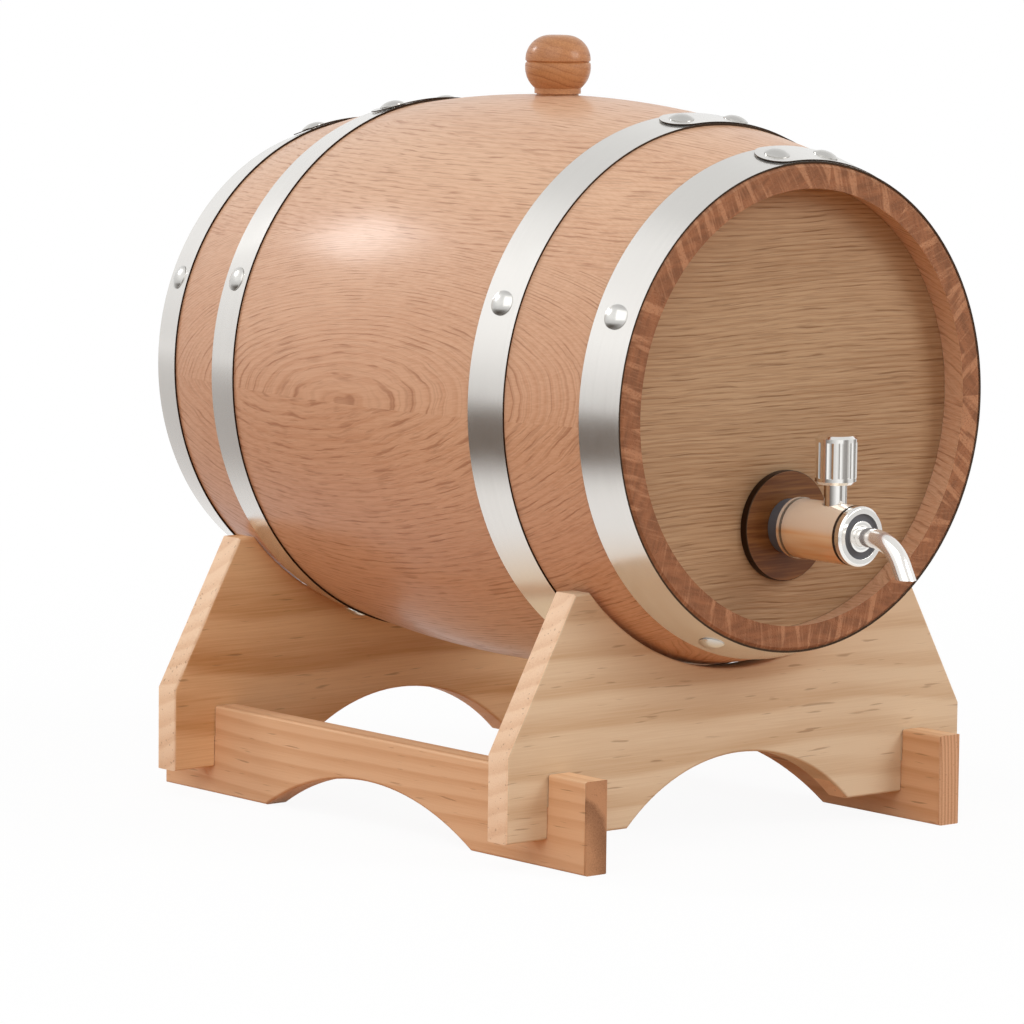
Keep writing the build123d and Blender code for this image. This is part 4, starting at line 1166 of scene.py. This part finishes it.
# ================================================================ stand
def board_shape(y):
    """A board: cradle, horns, sloping shoulders, feet, low arch and the notches for the rails."""
    stand = settings("stand")
    top, foot, lap = BOARD_HIGH.z, BOARD_LOW.z, stand.lap_height
    cradle = AXIS.z - stand.arch_top - stand.waist
    drop = AXIS.z - top
    inner = sqrt(cradle**2 - drop**2)
    notch = RAIL_HALF + stand.lap_gap
    half = [
        (inner + stand.horn_flat, top),
        (BOARD_HIGH.x, stand.shoulder_height),
        (BOARD_HIGH.x, foot),
        (RAIL_MIDDLE + notch, foot),
        (RAIL_MIDDLE + notch, lap),
        (RAIL_MIDDLE - notch, lap),
        (RAIL_MIDDLE - notch, foot),
        (stand.arch_half_width, foot),
    ]

    def at(x, z):
        return Vector((x, y - BOARD_HALF, z))

    def long_edge(middle):
        beside = abs(abs(middle.x) - RAIL_MIDDLE) < notch + NEAR
        on_face = abs(abs(middle.y - y) - BOARD_HALF) < NEAR
        return on_face and not (beside and middle.z < lap + NEAR)

    outline = Outline(at(-inner, top))
    outline.arc(at(inner, top), -UP, cradle - drop, 48)
    outline.line(*[at(*corner) for corner in half])
    outline.arc(at(-stand.arch_half_width, foot), UP, stand.arch_top - foot, 32)
    outline.line(*[at(*corner) for corner in mirrored(half)[1:]])
    return soften(outline.pulled(ALONG * 2 * BOARD_HALF), stand.edge_radius, 3, long_edge)


def rail_shape(x):
    """A rail on edge: low arch below, notches for the boards above."""
    stand = settings("stand")
    end = (RAIL_HIGH.y - RAIL_LOW.y) / 2
    top, lap = RAIL_HIGH.z, stand.lap_height
    notch = BOARD_HALF + stand.lap_gap
    half = [
        (end, 0),
        (end, top),
        (BOARD_MIDDLE + notch, top),
        (BOARD_MIDDLE + notch, lap),
        (BOARD_MIDDLE - notch, lap),
        (BOARD_MIDDLE - notch, top),
    ]

    def at(along, z):
        return Vector((x - RAIL_HALF, AXIS.y + along, z))

    def long_edge(middle):
        beside = abs(abs(middle.y - AXIS.y) - BOARD_MIDDLE) < notch + NEAR
        on_face = abs(abs(middle.x - x) - RAIL_HALF) < NEAR
        return on_face and not (beside and middle.z > lap - NEAR)

    outline = Outline(at(-stand.rail_arch_half, 0))
    outline.arc(at(stand.rail_arch_half, 0), UP, stand.rail_arch_rise, 28)
    outline.line(*[at(*corner) for corner in half + mirrored(half)])
    return soften(outline.pulled(ACROSS * 2 * RAIL_HALF), stand.edge_radius, 3, long_edge)


def pine_piece(bm, place, kind, along, origin, lie, seed, side, end):
    """A stand piece whose faces sawn across its length have their own wood."""
    mark(bm, lambda face: abs(face.normal.dot(along)) > 0.6)
    wood = [
        pine_material(f"{kind}_{place}_{part}", origin, lie, seed, *looks)
        for part, looks in (("pine", side), ("end", end))
    ]
    make_piece(bm, f"pine_{kind}_{place}", "stand", f"stand_{kind}_{place}", wood)


class CASK_OT_boards(bpy.types.Operator):
    """Model the two shaped boards of the stand"""

    bl_idname = "cask.boards"
    bl_label = "Boards"

    def execute(self, context):
        stand = settings("stand")
        pith = (0.03, -0.13)
        end = (pith, 170, (stand.cut_colour, stand.cut_band), 0.4)
        boards = (
            ("front", -BOARD_MIDDLE, 90, (stand.pine_colour, stand.pine_band)),
            ("rear", BOARD_MIDDLE, 50, (stand.rear_colour, stand.rear_band)),
        )
        for seed, (place, offset, rings, palette) in enumerate(boards, start=41):
            y = AXIS.y + offset
            side = (pith, rings, palette, 0.6)
            pine_piece(
                board_shape(y), place, "board", ACROSS, (0, y, 0), SIDEWAYS, seed, side, end
            )
        return {"FINISHED"}


class CASK_OT_rails(bpy.types.Operator):
    """Model the two rails of the stand"""

    bl_idname = "cask.rails"
    bl_label = "Rails"

    def execute(self, context):
        stand = settings("stand")
        side = ((0.05, 0.03), 260, (stand.rail_colour, stand.rail_band))
        rails = (
            ("left", -RAIL_MIDDLE, ((0.03, 0.01), 70, (stand.dark_end, stand.dark_end_band))),
            ("right", RAIL_MIDDLE, ((0.4, 0), 700, (stand.pine_end, stand.pine_end_band))),
        )
        for seed, (place, x, end) in enumerate(rails, start=51):
            pine_piece(
                rail_shape(x), place, "rail", ALONG, (x, AXIS.y, 0), (0, 0, 0), seed, side, end
            )
        return {"FINISHED"}


# ================================================================ tap
def tap_point(out, radius):
    """Point in front of the cask's middle by out, beside the tap's axis."""
    return TAP + Vector((radius, -out, 0))


def tap_ring(*corners):
    """Closed ring turned about the tap's axis from (out, radius) corners."""
    outline = Outline(*[tap_point(*corner) for corner in corners])
    outline.close()
    return outline.turned(TAP, ALONG, 96)


def tap_stack():
    """Where the tap's visible parts begin and end, in front of the cask's middle."""
    tap = settings("tap")
    plate = HALF_LENGTH - settings("cask").head_recess
    gasket = plate + tap.plate_thickness
    body = gasket + tap.gasket_thickness
    front = body + tap.body_length
    face = front + tap.cap_thickness
    return {"plate": plate, "gasket": gasket, "body": body, "front": front, "face": face}


def washer(back, front, radius, bevel):
    """Flat ring round the tap's shank."""
    hole = SHANK_HOLE
    return soften(tap_ring((back, hole), (back, radius), (front, radius), (front, hole)), bevel, 3)


class CASK_OT_tap_plate(bpy.types.Operator):
    """Model the escutcheon plate and the gasket on it"""

    bl_idname = "cask.tap_plate"
    bl_label = "Tap plate and gasket"

    def execute(self, context):
        tap = settings("tap")
        stack = tap_stack()
        bm = washer(stack["plate"], stack["gasket"], tap.plate_radius, PLATE_BEVEL)
        mark(bm, lambda face: abs(face.normal.y) < 0.9)
        finishes = [painted_reflection_plate(), metal("rim_steel")]
        make_piece(bm, "escutcheon_plate", "cask", "tap_escutcheon", finishes)
        radius = tap.body_radius - GASKET_INSET
        bm = washer(stack["gasket"], stack["body"], radius, GASKET_BEVEL)
        make_piece(bm, "outer_gasket", "cask", "tap_outer_gasket", [seal_rubber()])
        return {"FINISHED"}


class CASK_OT_tap_body(bpy.types.Operator):
    """Finish the tap's body and its inner parts, and model its end cap"""

    bl_idname = "cask.tap_body"
    bl_label = "Tap body and cap"

    def execute(self, context):
        tap = settings("tap")
        finish_node("tap_body", body_chrome())
        for node in ("tap_washer", "tap_lock_nut", "tap_valve_rotor"):
            finish_node(node, metal("fastener_steel"))
        for node in ("tap_inner_gasket", "tap_seat_seal", "tap_o_rings"):
            finish_node(node, seal_rubber())
        front, face = tap_stack()["front"], tap_stack()["face"]
        back = front - CAP_SPIGOT
        floor = face - CAP_GROOVE_DEPTH
        edge = tap.body_radius
        rim = edge - CAP_RIM
        groove = rim - CAP_GROOVE
        bm = tap_ring(
            (back, tap.spout_radius), (back, CAP_SPIGOT_RADIUS), (front, CAP_SPIGOT_RADIUS),
            (front, edge - CAP_STEP_DEPTH), (front + CAP_STEP, edge - CAP_STEP_DEPTH),
            (front + CAP_STEP, edge), (face - CAP_BEVEL, edge), (face, edge - CAP_BEVEL),
            (face, rim), (floor, rim), (floor, groove), (face, groove), (face, tap.spout_radius),
        )

        def in_groove(part):
            middle = part.calc_center_median() - tap_point(floor, 0)
            return groove < middle.xz.length < rim and abs(middle.y) < 0.0002

        # The groove's floor is made dark grey with the gaskets' finish.
        mark(soften(bm, CAP_SOFTNESS), in_groove)
        finishes = [metal("polished_chrome"), seal_rubber()]
        make_piece(bm, "end_cap", "cask", "tap_end_cap", finishes)
        return {"FINISHED"}


class CASK_OT_spout(bpy.types.Operator):
    """Model the bent spout with its level-cut tip"""

    bl_idname = "cask.spout"
    bl_label = "Spout"

    def execute(self, context):
        tap = settings("tap")
        root = tap_stack()["front"] - CAP_SPIGOT
        bend = tap_stack()["face"] + tap.spout_run
        bm = bmesh.new()
        for radius in (tap.spout_radius, tap.spout_bore):
            bmesh.ops.create_circle(bm, segments=40, radius=radius)
        bmesh.ops.bridge_loops(bm, edges=bm.edges[:])
        stand_up = Matrix.Translation(tap_point(root, 0)) @ Matrix.Rotation(pi / 2, 4, "X")
        bmesh.ops.transform(bm, matrix=stand_up, verts=bm.verts[:])
        tip = extrude(bm, bm.faces[:], ALONG * (root - bend))
        ring = list({v for f in tip for v in f.verts}) + list({e for f in tip for e in f.edges})
        centre = tap_point(bend, 0) - UP * tap.spout_bend
        made = spin(bm, tip + ring, centre, ACROSS, tap.spout_turn, 24)
        tip = only(made["geom_last"], bmesh.types.BMFace)
        way = Vector((0, -cos(tap.spout_turn), -sin(tap.spout_turn)))
        extrude(bm, tip, way * SPOUT_SPARE)
        made = bmesh.ops.bisect_plane(
            bm, geom=bm.verts[:] + bm.edges[:] + bm.faces[:],
            plane_co=(0, 0, TAP.z - SPOUT_DROP), plane_no=(0, 0, -1), clear_outer=True,
        )
        bmesh.ops.bridge_loops(bm, edges=only(made["geom_cut"], bmesh.types.BMEdge))
        make_piece(bm, "spout", "cask", "tap_spout", [metal("spout_chrome")], 40)
        return {"FINISHED"}


class CASK_OT_handle(bpy.types.Operator):
    """Model the handle's stem and its fluted knob"""

    bl_idname = "cask.handle"
    bl_label = "Handle"

    def execute(self, context):
        tap = settings("tap")
        middle = tap_point(tap_stack()["front"] - STEM_SETBACK, 0)
        bottom = ROTOR_RADIUS - SPIGOT_DEPTH
        shoulder = ROTOR_RADIUS + METAL_FIT
        foot = tap.body_radius + STEM_SHOWN
        top = foot + tap.knob_height
        socket = foot + SOCKET_DEPTH
        hole = SPIGOT_RADIUS + METAL_FIT
        stem, knob = tap.stem_radius, tap.knob_radius

        def turned(steps, *corners):
            outline = Outline(*[middle + Vector((radius, 0, z)) for radius, z in corners])
            return outline.turned(middle, UP, steps)

        bm = turned(
            64, (0, bottom), (SPIGOT_RADIUS, bottom), (SPIGOT_RADIUS, shoulder), (stem, shoulder),
            (stem, foot), (SPIGOT_RADIUS, foot), (SPIGOT_RADIUS, socket), (0, socket),
        )
        make_piece(
            soften(bm, STEM_SOFTNESS), "handle_stem", "tap_handle", "tap_handle_stem",
            [metal("polished_chrome")],
        )
        bm = turned(
            96, (0, top), (knob - KNOB_BEVEL, top), (knob, top - KNOB_BEVEL),
            (knob, foot + KNOB_BEVEL), (knob - KNOB_BEVEL, foot), (hole, foot),
            (hole, socket + METAL_FIT), (0, socket + METAL_FIT),
        )
        away = knob - FLUTE_DEPTH + FLUTE_RADIUS
        cutters = bmesh.new()
        for number in range(tap.flutes):
            angle = 2 * pi * number / tap.flutes
            side = middle + Vector((away * cos(angle), away * sin(angle), 0))
            low, high = side + UP * (foot + FLUTE_MARGIN), side + UP * (top - FLUTE_MARGIN)
            join(cutters, rod(FLUTE_RADIUS, low, high, 40))
        bm = carved(bm, cutters)
        chrome = [metal("knob_chrome")]
        make_piece(bm, "handle_knob", "tap_handle", "tap_handle_knob", chrome)
        return {"FINISHED"}


# ================================================================ stage
WHITE = (1, 1, 1)
FLOOR_HALF = 8                 # half the floor's width
SENSOR = 36                    # the camera's, in millimetres
SHIFT = (0.0003, 0.0005)       # of the picture's middle from the lens's
LAMPS = (                      # name, direction from the cask, distance and width
    ("key", (-0.36, 0.76, 0.52), 1.6, 0.3),
    ("side", (-0.65, -0.35, 0.68), 2.0, 2.0),
    ("front", (0.42, -0.80, 0.42), 1.8, 0.8),
)
PAINTED_DARK_SECTORS = (               # direction over the floor, how narrow, how dark; painted dark reflections that only the metal sees
    ((0.97, -0.24, 0), 0.93, 0.8),
    ((0.2, -0.98, 0), 0.95, 0.8),
    ((0.64, -0.76, 0), 0.94, 0.3),
)


def lamp(name, way, distance, width, power):
    """A soft square lamp that faces the cask from a direction."""
    light = bpy.data.lights.new(name, "AREA")
    light.shape = "SQUARE"
    light.size = width
    light.energy = power
    holder = link_object(name, light)
    way = Vector(way).normalized()
    holder.location = AXIS + way * distance
    holder.rotation_mode = "QUATERNION"
    holder.rotation_quaternion = way.to_track_quat("Z", "Y")


def seen_directly(net, path):
    """Whether a ray comes from the camera, straight or through something clear."""
    return net.math("MAXIMUM", path["Is Camera Ray"], path["Is Transmission Ray"])


def floor_material(stage):
    """Pale floor: white to the camera apart from a soft shadow, warm to the object, and to the
    metal a painted reflection: a dark band and sectors, with painted shade under the cask.
    """
    material, net = new_material("floor_pale")
    flat = net.vector("MULTIPLY", net.place(), (1, 1, 0))
    distance = net.measure("LENGTH", flat)

    def towards(way):
        """How nearly a place on the floor lies this way from the middle, 1 where it does."""
        return net.math("DIVIDE", net.measure("DOT_PRODUCT", flat, way), distance)

    # painted reflection of a dark band round the cask, seen only in the metal
    side = net.spread(towards((-0.94, 0.34, 0)), 0.15, 1.0)
    band = net.spread(distance, 0.22, 0.43, smooth=True)
    fade = net.spread(distance, 0.7, 4.0, 1.0, 0.1, smooth=True)
    dark = net.times(net.times(side, band), fade)
    for way, narrow, darkness in PAINTED_DARK_SECTORS:
        sector = net.spread(towards(way), narrow, 0.995, 0.0, darkness)
        sector = net.times(sector, net.spread(distance, 0.5, 0.7))
        dark = net.math("MAXIMUM", dark, sector)
    # painted shade under the cask, seen only in the metal
    near = net.spread(distance, 0.06, 0.17, 1.0, 0.0, smooth=True)
    tone = net.mix(near, net.mix(dark, WHITE, stage.painted_reflection_band), stage.near_painted_shade)
    path = net.node("LightPath").outputs
    far = net.spread(distance, 0.25, 0.7, smooth=True)
    lit = net.node("BsdfDiffuse", {"Color": (0.95, 0.95, 0.95)}).outputs[0]
    warm = net.node("BsdfDiffuse", {"Color": stage.floor_bounce}).outputs[0]
    white = net.node("Emission", {"Color": WHITE}).outputs[0]
    in_metal = net.node("Emission", {"Color": tone}).outputs[0]
    seen = net.blend(net.spread(far, 0.0, 1.0, 0.93, 1.0), lit, white)
    unseen = net.blend(path["Is Glossy Ray"], warm, in_metal)
    net.output("Material", net.blend(seen_directly(net, path), unseen, seen))
    return material


def make_world(stage):
    """White to the camera, even light to wood, and a soft panel that the metal mirrors."""
    world = bpy.data.worlds.new("studio")
    world.use_nodes = True
    net = Wiring(world.node_tree)
    way = net.node("TexCoord").outputs["Generated"]
    height = net.parts(way)[2]
    near = net.measure("DOT_PRODUCT", way, (-0.62, 0.45, 0.643))
    panel = net.spread(near, 0.80, 0.97, 0.0, stage.panel, smooth=True)
    horizon = net.spread(height, 0.0, 0.2, 0.84, 0.96)
    above = net.times(horizon, net.spread(height, 0.40, 0.80, 1.0, 0.80))
    in_metal = net.times_plus(above, stage.mirrored_sky, panel)
    path = net.node("LightPath").outputs
    glow = net.spread(path["Is Glossy Ray"], 0.0, 1.0, stage.sky, in_metal)
    glow = net.spread(seen_directly(net, path), 0.0, 1.0, glow, 1.0)
    sky = net.node("Background", {"Color": WHITE, "Strength": glow})
    net.output("World", sky.outputs[0])
    return world


class CASK_OT_stage(bpy.types.Operator):
    """Set up the floor, the lamps and the camera"""

    bl_idname = "cask.stage"
    bl_label = "Stage"

    def execute(self, context):
        stage = settings("stage")
        scene = context.scene
        scene.view_settings.view_transform = "Standard"

        bm = bmesh.new()
        bmesh.ops.create_grid(bm, x_segments=1, y_segments=1, size=FLOOR_HALF)
        mesh = bpy.data.meshes.new("floor")
        bm.to_mesh(mesh)
        bm.free()
        mesh.materials.append(floor_material(stage))
        floor = link_object("floor", mesh)

        scene.world = make_world(stage)
        for name, way, distance, width in LAMPS:
            lamp(f"{name}_lamp", way, distance, width, getattr(stage, f"{name}_power"))

        data = bpy.data.cameras.new("camera")
        data.lens = stage.lens
        data.sensor_width = SENSOR
        data.shift_x, data.shift_y = SHIFT
        camera = link_object("camera", data)
        level = cos(stage.elevation)
        back = Vector((
            sin(stage.azimuth) * level, -cos(stage.azimuth) * level, sin(stage.elevation)
        ))
        place = Matrix.Translation(Vector(stage.aim) + back * stage.distance)
        turned = back.to_track_quat("Z", "Y").to_matrix().to_4x4()
        camera.matrix_world = place @ turned @ Matrix.Rotation(stage.roll, 4, "Z")
        scene.camera = camera
        return {"FINISHED"}


# ================================================================ panel and registration
OPERATORS = [
    CASK_OT_staves, CASK_OT_heads, CASK_OT_hoops, CASK_OT_rivets, CASK_OT_bung, CASK_OT_boards,
    CASK_OT_rails, CASK_OT_tap_plate, CASK_OT_tap_body, CASK_OT_spout, CASK_OT_handle,
    CASK_OT_stage,
]
GROUPS = {
    "cask": CaskSettings,
    "stand": StandSettings,
    "bung": BungSettings,
    "tap": TapSettings,
    "stage": StageSettings,
}


class CASK_PT_panel(bpy.types.Panel):
    """Lists the cask's pieces and settings"""

    bl_idname = "CASK_PT_panel"
    bl_label = "Oak cask dispenser"
    bl_space_type = "VIEW_3D"
    bl_region_type = "UI"
    bl_category = "Cask"

    def draw(self, context):
        for operator in OPERATORS:
            self.layout.operator(operator.bl_idname)
        for name, group in GROUPS.items():
            box = self.layout.box()
            box.label(text=name.capitalize())
            for setting in group.__annotations__:
                box.prop(getattr(context.scene, name), setting)


def register():
    for kind in [*GROUPS.values(), *OPERATORS, CASK_PT_panel]:
        bpy.utils.register_class(kind)
    for name, group in GROUPS.items():
        setattr(bpy.types.Scene, name, bpy.props.PointerProperty(type=group))


def unregister():
    for name in GROUPS:
        delattr(bpy.types.Scene, name)
    for kind in reversed([*GROUPS.values(), *OPERATORS, CASK_PT_panel]):
        bpy.utils.unregister_class(kind)


def main():
    register()
    for operator in OPERATORS:
        family, name = operator.bl_idname.split(".")
        getattr(getattr(bpy.ops, family), name)()


if __name__ == "__main__":
    main()
